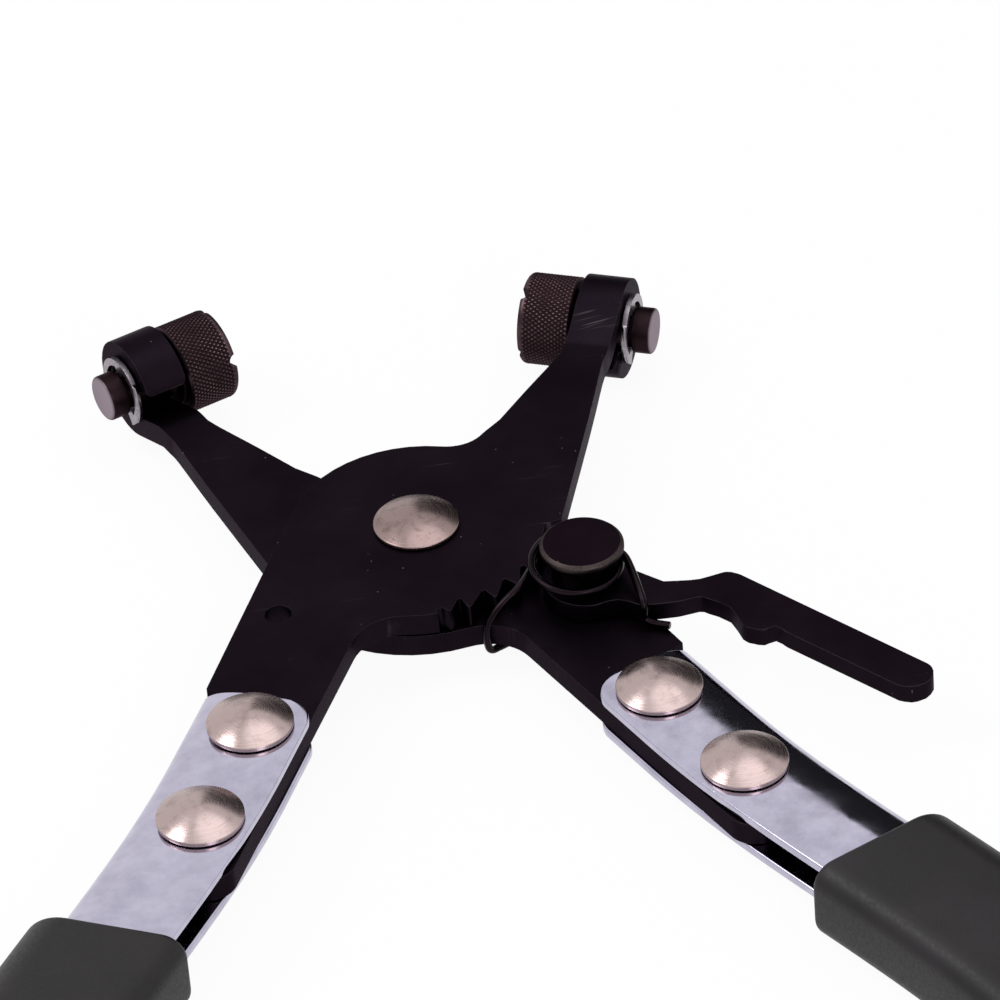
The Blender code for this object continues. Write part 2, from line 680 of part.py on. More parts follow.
def make_jaw(name, material, collection, cutters):
    """A pin with a groove for its clip, a collar, and a head with two crossing slots."""
    tip = EYE_WIDTH / 2 + JAW_PIN_OVERHANG
    groove = JAW_PIN_RADIUS - CLIP_GROOVE_DEPTH
    groove_top = CLIP_START + CLIP_THICKNESS + RUN_GAP
    groove_bottom = CLIP_START - RUN_GAP
    rounding = JAW_HEAD_ROUND * JAW_ROUND_SHARE
    profile = [
        (0, tip),
        (JAW_PIN_RADIUS - JAW_PIN_CHAMFER, tip),
        (JAW_PIN_RADIUS, tip - JAW_PIN_CHAMFER),
        (JAW_PIN_RADIUS, groove_top),
        (groove, groove_top),
        (groove, groove_bottom),
        (JAW_PIN_RADIUS, groove_bottom),
        (JAW_PIN_RADIUS, -EYE_WIDTH / 2 - RUN_GAP),
        (JAW_COLLAR_RADIUS, -EYE_WIDTH / 2 - RUN_GAP),
        (JAW_COLLAR_RADIUS, -JAW_HEAD_START),
        (JAW_HEAD_RADIUS - JAW_HEAD_CHAMFER, -JAW_HEAD_START),
        (JAW_HEAD_RADIUS, -JAW_HEAD_START - JAW_HEAD_CHAMFER),
        (JAW_HEAD_RADIUS, -JAW_HEAD_END + JAW_HEAD_ROUND),
        (JAW_HEAD_RADIUS - rounding, -JAW_HEAD_END + rounding),
        (JAW_HEAD_RADIUS - JAW_HEAD_ROUND, -JAW_HEAD_END),
        (0, -JAW_HEAD_END),
    ]
    jaw = turned_piece(name, profile, material, collection)
    level = JAW_SLOT_DEPTH - JAW_SLOT_RADIUS - JAW_HEAD_END
    length = 2 * (JAW_HEAD_RADIUS + CUT_OVERRUN)
    mills = []
    for index, axis in enumerate("XY"):
        place = Matrix.Translation((0, 0, level)) @ Matrix.Rotation(math.pi / 2, 4, axis)
        mills.append(cylinder_cutter(f"{name}_mill_{index + 1}", JAW_SLOT_RADIUS, length, place, cutters))
    return cut(jaw, mills)


def make_clip(name, material, collection):
    """A flat E-clip: three prongs on the groove, two pockets, and a mouth at +X."""
    prong_radius = JAW_PIN_RADIUS - CLIP_GROOVE_DEPTH + RUN_GAP
    mouth = CLIP_MOUTH_ANGLE / 2
    back = 180 - CLIP_PRONG_ANGLE / 2
    outline = arc(Vector(), CLIP_RADIUS, mouth, 360 - mouth)
    outline += arc(Vector(), prong_radius, 360 - mouth, 360 - mouth - CLIP_PRONG_ANGLE)
    outline += arc(Vector(), CLIP_POCKET_RADIUS, 360 - mouth - CLIP_PRONG_ANGLE, 360 - back)
    outline += arc(Vector(), prong_radius, 360 - back, back)
    outline += arc(Vector(), CLIP_POCKET_RADIUS, back, mouth + CLIP_PRONG_ANGLE)
    outline += arc(Vector(), prong_radius, mouth + CLIP_PRONG_ANGLE, mouth)
    clip = flat_piece(name, [outline], CLIP_THICKNESS, material, collection)
    clip.data.transform(Matrix.Translation((0, 0, CLIP_START + CLIP_THICKNESS / 2)))
    return clip


# Pawl, pin and spring

def lever_edge(shares):
    """Spots on the lever's outline from the pin, given as shares of its reach."""
    return [LEVER_REACH * Vector((along_share, across_share, 0)) for along_share, across_share in shares]


def pawl_outline():
    """The pawl from its pin: the finger, lifted out of the rim's valley, the hub and the lever."""
    pin = pin_spot()
    valley = FIRST_VALLEY_ANGLE + PAWL_VALLEY * TOOTH_PITCH
    nose_radius = VALLEY_RADIUS + PAWL_NOSE_GAP
    finger_inside = RIM_RADIUS + PAWL_FINGER_GAP
    finger_outside = finger_inside + PAWL_FINGER_WIDTH
    steep = valley - math.degrees(RUN_GAP / nose_radius)
    lean = math.degrees(STEEP_FACE_LEAN / RIM_RADIUS)
    floor = math.degrees(VALLEY_FLOOR / VALLEY_RADIUS)
    slope_end = valley + lean + math.degrees(TOOTH_LAND / RIM_RADIUS) - TOOTH_PITCH + floor
    finger = [
        polar(finger_outside - VALLEY_FLOOR, steep - floor / 2),
        polar((finger_inside + finger_outside) / 2, steep + lean),
        polar(RIM_RADIUS, steep + lean),
        polar(nose_radius, steep),
        polar(nose_radius, steep - floor),
        polar(finger_inside, slope_end),
        polar(finger_inside, slope_end - 2 * floor),
    ]
    lift = Matrix.Rotation(math.radians(-PAWL_LIFT), 3, "Z")
    hub = PAWL_HUB_SHIFT * polar(1, PAWL_PIN_ANGLE)
    near_side = arc(hub, PAWL_HUB_RADIUS, 125, 270)
    far_side = arc(hub, PAWL_HUB_RADIUS, 0, 70)
    near = smooth_run(lever_edge(LEVER_NEAR_SHARES), 2)
    end = smooth_run(lever_edge(LEVER_END_SHARES), 2)
    far = smooth_run(lever_edge(LEVER_FAR_SHARES), 2)
    return [lift @ (spot - pin) for spot in finger] + near_side + near + end + far + far_side


def make_pawl(material, collection):
    """The pawl with its lever, about its own pin."""
    hole = circle(Vector(), PIN_JOURNAL_RADIUS + RUN_GAP)
    pawl = flat_piece("ratchet_lever", [pawl_outline(), hole], PAWL_THICKNESS, material, collection)
    pawl.data.transform(Matrix.Translation((0, 0, PAWL_FLOOR + PAWL_THICKNESS / 2)))
    round_edges(pawl, PLATE_EDGE_ROUND)
    pawl.location = pin_spot()
    return pawl


def make_pawl_pin(material, collection):
    """The pin from its flat knob down to the head formed under the lower plate."""
    neck = PAWL_TOP + RUN_GAP
    knob = KNOB_TOP - KNOB_THICKNESS
    seat = SEAT_GAP - RUN_GAP / 2
    under = -PLATE_FACE - SEAT_GAP
    profile = [
        (0, KNOB_TOP),
        (KNOB_RADIUS - KNOB_CHAMFER, KNOB_TOP),
        (KNOB_RADIUS, KNOB_TOP - KNOB_CHAMFER),
        (KNOB_RADIUS, knob),
        (PIN_NECK_RADIUS, knob),
        (PIN_NECK_RADIUS, neck),
        (PIN_JOURNAL_RADIUS, neck),
        (PIN_JOURNAL_RADIUS, seat),
        (PIN_SHANK_RADIUS, seat),
        (PIN_SHANK_RADIUS, under),
        (PIN_TAIL_RADIUS, under),
        (PIN_TAIL_RADIUS, under - PIN_TAIL_THICKNESS / 2),
        (PIN_TAIL_RADIUS * TAIL_SHARE, under - PIN_TAIL_THICKNESS),
        (0, under - PIN_TAIL_THICKNESS),
    ]
    pin = turned_piece("pawl_pin", profile, material, collection)
    pin.location = pin_spot()
    return pin


def spring_route():
    """The wire's centre line: a hook under the lower plate, the coil, a leg against the lever."""
    pin = pin_spot()
    middle = pin - Vector((COIL_SHIFT, 0, 0))
    low = PLATE_FACE + SEAT_GAP + WIRE_RADIUS
    coil = []
    for step in range(COIL_STEPS + 1):
        turns = step / POINTS_PER_TURN
        lean = polar(COIL_RADIUS, COIL_START_ANGLE - 360 * turns)
        level = low + COIL_PITCH * turns + COIL_TILT * lean.y / COIL_RADIUS
        coil.append(middle + lean + Vector((0, 0, level)))
    leg_radius = RIM_RADIUS + PLATE_LEG_PAST_RIM
    post = polar(leg_radius, HOOK_ANGLE)
    hook_way = polar(1, HANDLE_SPLAY)
    under = Vector((0, 0, PLATE_FACE + SEAT_GAP + WIRE_RADIUS))
    lead = [
        post + hook_way * HOOK_REACH - under,
        post + hook_way * HOOK_REACH / 2 - under,
        post + hook_way * WIRE_RADIUS - under + Vector((0, 0, WIRE_RADIUS / 4)),
        post - Vector((0, 0, PLATE_FACE - WIRE_RADIUS)),
        post,
    ]
    lead += [polar(leg_radius, angle) + Vector((0, 0, level)) for angle, level in PLATE_LEG_RISE]
    near_edge = pin + lever_edge(LEVER_NEAR_SHARES)[LEVER_SPOT]
    drop = near_edge - Vector((0, WIRE_RADIUS + RUN_GAP, 0))
    floor = PAWL_FLOOR + WIRE_RADIUS
    leg = [
        coil[-1] + Vector((*LEVER_LEG_LEAN, -WIRE_RADIUS)),
        drop + Vector((0, WIRE_RADIUS, PAWL_TOP + 2 * WIRE_RADIUS)),
        drop + Vector((0, 0, PAWL_TOP - WIRE_RADIUS)),
        drop + Vector((0, 0, floor + WIRE_RADIUS)),
        drop + polar(FOOT_REACH / 3, FOOT_ANGLE) + Vector((0, 0, floor)),
        drop + polar(FOOT_REACH, FOOT_ANGLE) + Vector((0, 0, floor)),
    ]
    lead_in = smooth_run([*lead, coil[0]], LEG_STEPS)[:-1]
    lead_out = smooth_run([coil[-1], *leg], LEG_STEPS)[1:]
    return lead_in + coil + lead_out


def least_gap(route):
    """The least gap between turns of the wire, on the points of its route."""
    apart = POINTS_PER_TURN * 3 // 4
    gaps = [(second - first).length for index, first in enumerate(route) for second in route[index + apart:]]
    return min(gaps) - 2 * WIRE_RADIUS


def make_spring(material, collection):
    """The torsion spring that turns the pawl into the teeth."""
    route = spring_route()
    curve = bpy.data.curves.new("pawl_spring", "CURVE")
    curve.dimensions = "3D"
    curve.bevel_depth = WIRE_RADIUS
    curve.bevel_resolution = 1
    curve.use_fill_caps = True
    spline = curve.splines.new("POLY")
    spline.points.add(len(route) - 1)
    for point, spot in zip(spline.points, route):
        point.co = (*spot, 1)
    print("least gap in the spring, mm:", round(least_gap(route) * 1000, 3))
    return settle(add_object("pawl_spring", curve, material, collection))


# Materials and assembly

def steel(name, colour, roughness, metallic=1.0):
    """A plain shader with the piece's colour, roughness and metallic value."""
    material = bpy.data.materials.new(name)
    material.use_nodes = True
    shader = material.node_tree.nodes["Principled BSDF"]
    shader.inputs["Base Color"].default_value = (*colour, 1)
    shader.inputs["Roughness"].default_value = roughness
    shader.inputs["Metallic"].default_value = metallic
    return material


def add_empty(name, parent, collection):
    """A parent on the pivot's axis."""
    empty = bpy.data.objects.new(name, None)
    empty.parent = parent
    collection.objects.link(empty)
    return empty


def add_turned_over(name, item, parent, collection):
    """The lower arm's copy of a piece, which shares its mesh."""
    copy = bpy.data.objects.new(name, item.data)
    copy.rotation_euler = (0, math.pi, 0)
    copy.parent = parent
    collection.objects.link(copy)


def stand_on_ground(whole, collection):
    """Lifts the pliers onto the ground and puts the origin under the middle of their length."""
    bpy.context.view_layer.update()
    solids = [item for item in collection.objects if item.type == "MESH"]
    spots = [item.matrix_world @ vert.co for item in solids for vert in item.data.vertices]
    back = min(spot.y for spot in spots)
    front = max(spot.y for spot in spots)
    bottom = min(spot.z for spot in spots)
    whole.location = (0, -(back + front) / 2, -bottom)
    print("pivot stands at, mm:", [round(value * 1000, 4) for value in whole.location])


def main():
    for item in list(bpy.data.objects):
        bpy.data.objects.remove(item)
    pliers = bpy.data.collections.new("hose_clamp_pliers")
    cutters = bpy.data.collections.new("cutters")
    bpy.context.scene.collection.children.link(pliers)
    bpy.context.scene.collection.children.link(cutters)

    oxide = steel("black oxide steel", (0.012, 0.009, 0.011), 0.42, 0.6)
    knurled = steel("black oxide knurled steel", (0.03, 0.022, 0.02), 0.5, 0.7)
    chrome = steel("chrome plated sheet", (0.72, 0.74, 0.78), 0.08)
    nickel = steel("nickel plated rivet steel", (0.62, 0.58, 0.54), 0.24)
    clip_steel = steel("bright spring steel", (0.55, 0.55, 0.57), 0.25)
    wire = steel("dark spring wire", (0.04, 0.035, 0.035), 0.35)
    vinyl = steel("dipped vinyl", (0.015, 0.015, 0.016), 0.55, 0.0)

    whole = add_empty("hose_clamp_pliers", None, pliers)
    lower_arm = add_empty("lower_arm", whole, pliers)
    upper_arm = add_empty("upper_arm", whole, pliers)

    make_plate("upper_plate", toothed_rim(), oxide, pliers).parent = upper_arm
    lower_plate = make_plate("lower_plate", onto_rim(LAST_RELIEF_ANGLE), oxide, pliers)
    lower_plate.rotation_euler = (0, math.pi, 0)
    lower_plate.parent = lower_arm
    channel = make_channel(chrome, pliers, cutters)
    grip = make_grip(vinyl, pliers)
    for item, copy_name in ((channel, "right_handle_channel"), (grip, "right_grip")):
        item.parent = upper_arm
        add_turned_over(copy_name, item, lower_arm, pliers)
    make_rivets(upper_arm, lower_arm, nickel, pliers)
    pivot_profile = rivet_profile(
        PIVOT_SHANK_RADIUS, PIVOT_HEAD_RADIUS, PIVOT_RIM, PIVOT_DOME_RADIUS, PIVOT_DOME_HEIGHT, PLATE_FACE)
    turned_piece("pivot_rivet", pivot_profile, nickel, pliers).parent = lower_arm

    for name, side, arm in (("left", -1, lower_arm), ("right", 1, upper_arm)):
        jaw = make_jaw(f"{name}_swivel_jaw", knurled, pliers, cutters)
        stand_on_pin_axis(jaw, side, JAW_TURN)
        clip = make_clip(f"{name}_retaining_clip", clip_steel, pliers)
        stand_on_pin_axis(clip, side, CLIP_TURN)
        for item in (jaw, clip):
            item.parent = arm

    for item in (make_pawl(oxide, pliers), make_pawl_pin(oxide, pliers), make_spring(wire, pliers)):
        item.parent = lower_arm
    stand_on_ground(whole, pliers)


main()
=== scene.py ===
import json
import math

import bmesh
import bpy
import numpy as np
from mathutils import Matrix, Vector


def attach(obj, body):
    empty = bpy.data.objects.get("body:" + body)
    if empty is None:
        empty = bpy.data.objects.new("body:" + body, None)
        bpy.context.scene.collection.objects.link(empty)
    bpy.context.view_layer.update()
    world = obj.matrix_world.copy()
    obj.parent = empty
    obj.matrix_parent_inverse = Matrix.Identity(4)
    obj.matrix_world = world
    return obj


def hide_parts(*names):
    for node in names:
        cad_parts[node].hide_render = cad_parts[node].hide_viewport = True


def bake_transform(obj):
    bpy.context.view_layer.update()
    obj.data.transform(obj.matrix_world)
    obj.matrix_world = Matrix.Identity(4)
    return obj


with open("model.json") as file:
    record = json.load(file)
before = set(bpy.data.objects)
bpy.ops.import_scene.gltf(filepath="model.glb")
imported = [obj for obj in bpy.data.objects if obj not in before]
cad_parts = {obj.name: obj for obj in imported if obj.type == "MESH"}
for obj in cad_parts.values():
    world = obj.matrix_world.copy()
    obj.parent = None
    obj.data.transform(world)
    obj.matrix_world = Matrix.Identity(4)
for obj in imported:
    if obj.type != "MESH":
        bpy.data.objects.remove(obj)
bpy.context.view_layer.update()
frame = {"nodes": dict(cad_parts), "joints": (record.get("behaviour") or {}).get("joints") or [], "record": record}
scene = bpy.context.scene
mm = 0.001  # sizes below are in millimetres and degrees, about the main pivot

bodies = frame["record"]["behaviour"]["bodies"]
bodyOf = {node: body for body, nodes in bodies.items() for node in nodes}
pivot = np.array(next(joint for joint in frame["joints"] if joint["name"] == "main_pivot")["pos_m"])
print("frame loaded,", len(bodyOf), "nodes")


# How the pliers stand, the same values as in the part's source
layout = {
    "handleSplay": 26.0, "jawSplay": 23.2,
    "plateLevel": 1.85, "plateFace": 3.55, "stackHalf": 3.3, "foldCentre": 13.5,
    "rivetsAlong": (48.616, 68.596), "rivetLine": 7.5,
    "pinAt": 26.5, "pinAngle": -36.0,
    "eyeAt": 55.2, "eyeOffset": 13.2, "eyeDrop": 0.7, "eyeWidth": 6.5,
}


def linear(hexColour):
    # sRGB to linear: c / 12.92 up to 0.04045, above it ((c + 0.055) / 1.055) to the power 2.4
    c = np.array([int(hexColour[i:i + 2], 16) for i in (1, 3, 5)]) / 255
    return (*np.where(c <= 0.04045, c / 12.92, ((c + 0.055) / 1.055) ** 2.4).tolist(), 1.0)


def setInputs(node, inputs):
    # an input is a value, an output to link, or a node, whose first output in use is linked
    for key, value in inputs.items():
        if isinstance(value, bpy.types.Node):
            value = next(output for output in value.outputs if output.enabled)
        if isinstance(value, bpy.types.NodeSocket):
            node.id_data.links.new(value, node.inputs[key])
        else:
            node.inputs[key].default_value = value


def addNode(owner, kind, inputs={}, **settings):
    # one node with its settings and links
    made = owner.node_tree.nodes.new("ShaderNode" + kind)
    for key, value in settings.items():
        setattr(made, key, value)
    setInputs(made, inputs)
    return made


def newMaterial(name):
    # a material that uses nodes
    material = bpy.data.materials.new(name)
    material.use_nodes = True
    return material


def per(size):
    # the scale of a pattern whose features are this many millimetres
    return 1 / (size * mm)


def limits(source, target=(0, 1)):
    # what takes the first pair of values to the second in Map Range
    return {"From Min": source[0], "From Max": source[1], "To Min": target[0], "To Max": target[1]}


def heading(degrees):
    # the plan direction at an angle from +X
    return np.array([math.cos(math.radians(degrees)), math.sin(math.radians(degrees)), 0.0])


handleWay = heading(-90 - layout["handleSplay"])  # along the left handle
handleSide = heading(180 - layout["handleSplay"])  # and outward across it


def onHandle(side, along, across, level):
    # along the left handle from the pivot plus outward across it; the right one is the left
    # one turned over, so x and z change sign
    along, across, level = np.broadcast_arrays(along, across, level)
    spots = along[..., None] * handleWay + across[..., None] * handleSide
    spots[..., 2] += level + layout["plateLevel"]
    if side == "right":
        spots = spots * (-1, 1, -1)
    return spots * mm + pivot


def roundedRun(corners, steps):
    # each (x, y, radius) corner of a polyline becomes an arc that touches both its sides
    spots, radii = np.split(np.array(corners, float), [2], axis=1)
    run = [spots[:1]]
    for before, corner, after, radius in zip(spots, spots[1:], spots[2:], radii[1:, 0]):
        if not radius:
            run.append(corner[None])
            continue
        u = (before - corner) / np.linalg.norm(before - corner)
        v = (after - corner) / np.linalg.norm(after - corner)
        opening = math.acos(np.clip(u @ v, -1, 1))
        middle = corner + (u + v) / np.linalg.norm(u + v) * radius / math.sin(opening / 2)
        reach = radius / math.tan(opening / 2)
        turn = math.pi - opening
        share = np.linspace(0, 1, steps + 1)[:, None]
        start, end = corner + u * reach - middle, corner + v * reach - middle
        arc = (np.sin((1 - share) * turn) * start + np.sin(share * turn) * end) / math.sin(turn)
        run.append(middle + arc)
    run.append(spots[-1:])
    return np.concatenate(run)


def smoothRun(spots, steps):
    # a cubic through all the spots: the slope at a spot is half the step from the spot before
    # it to the one after it
    spots = np.asarray(spots, float)
    ends = np.concatenate([spots[:1], spots, spots[-1:]])
    start, end = ends[1:-2, None], ends[2:-1, None]
    leave, arrive = start + (end - ends[:-3, None]) / 6, end - (ends[3:, None] - start) / 6
    t = (np.arange(steps) / steps)[None, :, None]
    run = start * (1 - t) ** 3 + 3 * leave * t * (1 - t) ** 2 + 3 * arrive * t ** 2 * (1 - t)
    run = run + end * t ** 3
    return np.concatenate([run.reshape(-1, 3), spots[-1:]])


def place(piece, material, node):
    # the piece stands for one CAD node, which it hides, and rides on its body; the spring rides
    # on none, its points baked where they stand
    scene.collection.objects.link(piece)
    piece.data.materials.clear()
    piece.data.materials.append(material)
    if node == "pawl_spring":
        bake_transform(piece)
    else:
        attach(piece, bodyOf[node])
    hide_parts(node)
    return piece


def gridPiece(name, grids, material, node, slotName, sharp=35.0, **values):
    # grids of points: neighbours are joined to quads, points that meet are merged, and the
    # faces are turned outward; values are attributes on the same grids
    quads, start = [], 0
    for grid in grids:
        rows, columns = grid.shape[:2]
        first = (np.arange(rows - 1)[:, None] * columns + np.arange(columns - 1)).ravel() + start
        quads.append(np.stack([first, first + 1, first + columns + 1, first + columns], 1))
        start += rows * columns
    mesh = bpy.data.meshes.new(name)
    points = np.concatenate([grid.reshape(-1, 3) for grid in grids])
    mesh.from_pydata(points, [], np.concatenate(quads))
    for key, arrays in values.items():
        flat = np.concatenate([array.ravel() for array in arrays]).astype(np.float32)
        vector = flat.size == 3 * start
        kind, field = ("FLOAT_VECTOR", "vector") if vector else ("FLOAT", "value")
        mesh.attributes.new(key, kind, "POINT").data.foreach_set(field, flat)
    shape = bmesh.new()
    shape.from_mesh(mesh)
    bmesh.ops.remove_doubles(shape, verts=shape.verts, dist=1e-7)
    bmesh.ops.recalc_face_normals(shape, faces=shape.faces)
    shape.to_mesh(mesh)
    shape.free()
    mesh.shade_smooth()
    mesh.set_sharp_from_angle(angle=math.radians(sharp))
    return place(bpy.data.objects.new(name, mesh), material, node)


def ringPoints(radius, turn, level):
    # the point at a radius and a turn round Z, and at a level
    return np.stack([radius * np.cos(turn), radius * np.sin(turn), level + 0 * turn], -1)


def turned(profile, columns):
    # a profile of (radius, level) pairs carried round Z; spin holds the turn on a circle and
    # the length along the profile, so that a pattern on it has no seam
    turn = np.linspace(0, 2 * math.pi, columns + 1)
    length = np.r_[0, np.cumsum(np.linalg.norm(np.diff(profile, axis=0), axis=1))][:, None]
    points = ringPoints(profile[:, :1], turn, profile[:, 1:])
    return points, ringPoints(1 + 0 * length, turn, length)


# The shoulder of each tang, in lengths along and across its handle: where the CAD has its
# corners, and how far each is carried on, so that the plate's edge runs into the channel's
shoulder = {
    "within": 0.8,
    "corners": (((38.0, 18.0), (2.9, -1.25)), ((41.0, 13.5), (0.55, 0.0))),
}


def drawShoulder(spots, side):
    # the points near a corner of the shoulder all move by that corner's step
    flip = (1 if side == "left" else -1, 1, 1)
    flat = (spots - pivot) / mm * flip
    along, across = flat @ handleWay, flat @ handleSide
    for (cornerAlong, cornerAcross), (stepAlong, stepAcross) in shoulder["corners"]:
        near = np.hypot(along - cornerAlong, across - cornerAcross) < shoulder["within"]
        spots[near] += (stepAlong * handleWay + stepAcross * handleSide) * flip * mm
        print("shoulder corners moved:", int(near.sum()))
    return spots


# What counts as one point, one flat and one chamfer in a copy of the CAD's mesh
copied = {"merge": 0.002, "flatAngle": 0.2, "narrow": 0.4, "leastLean": 0.05, "mostLean": 0.9}


def smoothCopy(name, material, node, sharp=58.0, shoulderOf=None):
    # the CAD node's mesh merged, its flats kept flat and its narrow chamfers shaded round.
    # "edge" is 1 on the faces that take the pale edge colour, worn bare metal and a painted
    # highlight: those that lean, by the upright part of their normal, and are as narrow as a
    # chamfer, by twice their area over their longest side
    mesh = frame["nodes"][node].data.copy()
    mesh.name = name
    shape = bmesh.new()
    shape.from_mesh(mesh)
    bmesh.ops.remove_doubles(shape, verts=shape.verts, dist=copied["merge"] * mm)
    if shoulderOf:
        # its flats are joined first, so that no sliver turns over when the corners move
        flatAngle = math.radians(copied["flatAngle"])
        bmesh.ops.dissolve_limit(shape, angle_limit=flatAngle, verts=[], edges=shape.edges)
    shape.to_mesh(mesh)
    spots = np.empty(3 * len(mesh.vertices), np.float32)
    mesh.vertices.foreach_get("co", spots)
    spots = spots.reshape(-1, 3)
    if shoulderOf:
        spots = drawShoulder(spots.astype(float), shoulderOf).astype(np.float32)
        mesh.vertices.foreach_set("co", spots.ravel())
        shape.clear()
        shape.from_mesh(mesh)
        bmesh.ops.triangulate(shape, faces=shape.faces)
        shape.to_mesh(mesh)
    shape.free()
    corners = np.empty(len(mesh.loops), np.int32)
    mesh.loops.foreach_get("vertex_index", corners)
    triangle = spots[corners.reshape(-1, 3)].astype(float)
    sides = triangle - np.roll(triangle, 1, axis=1)
    across = np.cross(sides[:, 0], sides[:, 1])
    area = np.linalg.norm(across, axis=1)
    height = area / np.linalg.norm(sides, axis=2).max(axis=1)
    lean = np.abs(across[:, 2]) / np.maximum(area, 1e-18)
    leans = (lean > copied["leastLean"]) & (lean < copied["mostLean"])
    edge = ((height < copied["narrow"] * mm) & leans).astype(np.float32)
    mesh.attributes.new("edge", "FLOAT", "FACE").data.foreach_set("value", edge)
    mesh.shade_smooth()
    mesh.set_sharp_from_angle(angle=math.radians(sharp))
    piece = place(bpy.data.objects.new(name, mesh), material, node)
    piece.modifiers.new("flatsStayFlat", "WEIGHTED_NORMAL").keep_sharp = True


noiseSpan = (0.3, 0.7)  # most of a noise's values lie in it
metal = {"Metallic": 1.0}


def twoTone(material, pattern, span, low, high):
    # one colour turns into the other as the pattern crosses the span
    tone = addNode(material, "MapRange", {"Value": pattern, **limits(span)})
    return addNode(material, "Mix", {0: tone, 6: linear(low), 7: linear(high)}, data_type="RGBA")


def finishSurface(material, look, colour, pattern, bumps, others):
    # a pattern moves the roughness between its two values; the bumps, each a height with its
    # strength and depth, lie one on the other; others are more inputs of the shader
    satin = addNode(material, "MapRange", {
        "Value": pattern, **limits(noiseSpan, look["roughness"])})
    normal = {}
    for height, (strength, depth) in bumps:
        normal = {"Normal": addNode(material, "Bump", {
            "Height": height, "Strength": strength, "Distance": depth * mm, **normal})}
    shader = material.node_tree.nodes["Principled BSDF"]
    setInputs(shader, {"Base Color": colour, "Roughness": satin, **normal, **others})
    return material


# Stamped carbon steel, black oxide in a hot bath and oiled: a satin brown-violet black, cloudy
# over a few millimetres, with hairline scratches, dust, and bare metal on its edges, worn there
# and painted paler as the edges' highlight
oxideLook = {
    "dark": "#171017", "light": "#1f181f", "bareEdgeAndHighlight": "#857a80", "dust": "#766b72",
    "grazing": "#c5c1c5", "cloud": 14.0, "cloudSpan": (0.32, 0.70), "grain": 0.30,
    "roughness": (0.36, 0.50), "bump": (0.22, 0.03),
    "speckCell": 2.3, "speckStretch": 0.25, "speckSpan": (0.055, 0.02), "speckLeast": 0.45,
    "lineWidth": 0.22, "lineShare": 0.3, "paleSpan": (0.52, 0.64),
    "scratchRun": 12.0, "scratchTurn": (0.35, 0.2, 0.9), "scratchSpan": (0.70, 0.80),
    "rubRun": 6.0, "rubTurn": (0.5, 0.4, -0.9), "rubSpan": (0.62, 0.80),
    "rubReach": (5.0, 2.5), "rubAway": (-1.5, -5.0, 4.0),
    "edgeWearAndHighlight": 0.13, "leastEdgeShare": 0.35, "wearSpan": (0.30, 0.72),
}
eyeAlong = layout["eyeAt"] * heading(90 - layout["jawSplay"])
eyeCentre = eyeAlong + layout["eyeOffset"] * heading(-layout["jawSplay"])
rubSpot = pivot + (eyeCentre + oxideLook["rubAway"]) * mm


def blackOxideSteel(name, look):
    material = newMaterial(name)
    here = addNode(material, "TexCoord").outputs["Object"]
    cloud = addNode(material, "TexNoise", {
        "Vector": here, "Scale": per(look["cloud"]), "Detail": 5.0, "Roughness": 0.6})
    grain = addNode(material, "TexNoise", {
        "Vector": here, "Scale": per(look["grain"]), "Detail": 3.0, "Roughness": 0.65})
    colour = twoTone(material, cloud, look["cloudSpan"], look["dark"], look["light"])
    # dust: the middles of some cells of a random pattern
    flatter = addNode(material, "Mapping", {"Vector": here, "Scale": (1, 1, look["speckStretch"])})
    cells = addNode(material, "TexVoronoi", {"Vector": flatter, "Scale": per(look["speckCell"])})
    dot = addNode(material, "MapRange", {"Value": cells, **limits(look["speckSpan"])})
    chosen = addNode(material, "SeparateColor", {"Color": cells.outputs["Color"]})
    some = addNode(material, "Math", {0: chosen, 1: look["speckLeast"]}, operation="GREATER_THAN")
    marks = addNode(material, "Math", {0: dot, 1: some}, operation="MULTIPLY")
    # scratches: the peaks of a noise drawn out long and thin, where the cloud is pale, and
    # more of them where the right eye has been rubbed
    pale = addNode(material, "MapRange", {
        "Value": cloud, **limits(look["paleSpan"], (0, look["lineShare"]))})
    away = addNode(material, "VectorMath", {0: here, 1: tuple(rubSpot)}, operation="DISTANCE")
    rubReach = np.array(look["rubReach"]) * mm
    rubbed = addNode(material, "MapRange", {
        "Value": away, **limits(rubReach, (0, look["lineShare"]))})
    for kind, where in (("scratch", pale), ("rub", rubbed)):
        run = per(look[kind + "Run"])
        drawn = addNode(material, "Mapping", {
            "Vector": here, "Rotation": look[kind + "Turn"],
            "Scale": (run, per(look["lineWidth"]), run)})
        streak = addNode(material, "TexNoise", {"Vector": drawn, "Scale": 1.0, "Detail": 1.0})
        line = addNode(material, "MapRange", {"Value": streak, **limits(look[kind + "Span"])})
        seen = addNode(material, "Math", {0: line, 1: where}, operation="MULTIPLY")
        marks = addNode(material, "Math", {0: marks, 1: seen}, operation="MAXIMUM")
    marked = addNode(material, "Mix", {
        0: marks, 6: colour, 7: linear(look["dust"])}, data_type="RGBA")
    # edges: bare metal on the chamfers, rubbed unevenly, worn and painted as their highlight line
    edge = addNode(material, "Attribute", attribute_name="edge").outputs["Fac"]
    shares = (look["leastEdgeShare"] * look["edgeWearAndHighlight"], look["edgeWearAndHighlight"])
    uneven = addNode(material, "MapRange", {"Value": grain, **limits(look["wearSpan"], shares)})
    edgeWearAndHighlight = addNode(material, "Math", {0: edge, 1: uneven}, operation="MULTIPLY")
    wornAndHighlit = addNode(material, "Mix", {0: edgeWearAndHighlight, 6: marked, 7: linear(look["bareEdgeAndHighlight"])}, data_type="RGBA")
    others = {**metal, "Specular Tint": linear(look["grazing"])}
    return finishSurface(material, look, wornAndHighlit, grain, [(grain, look["bump"])], others)
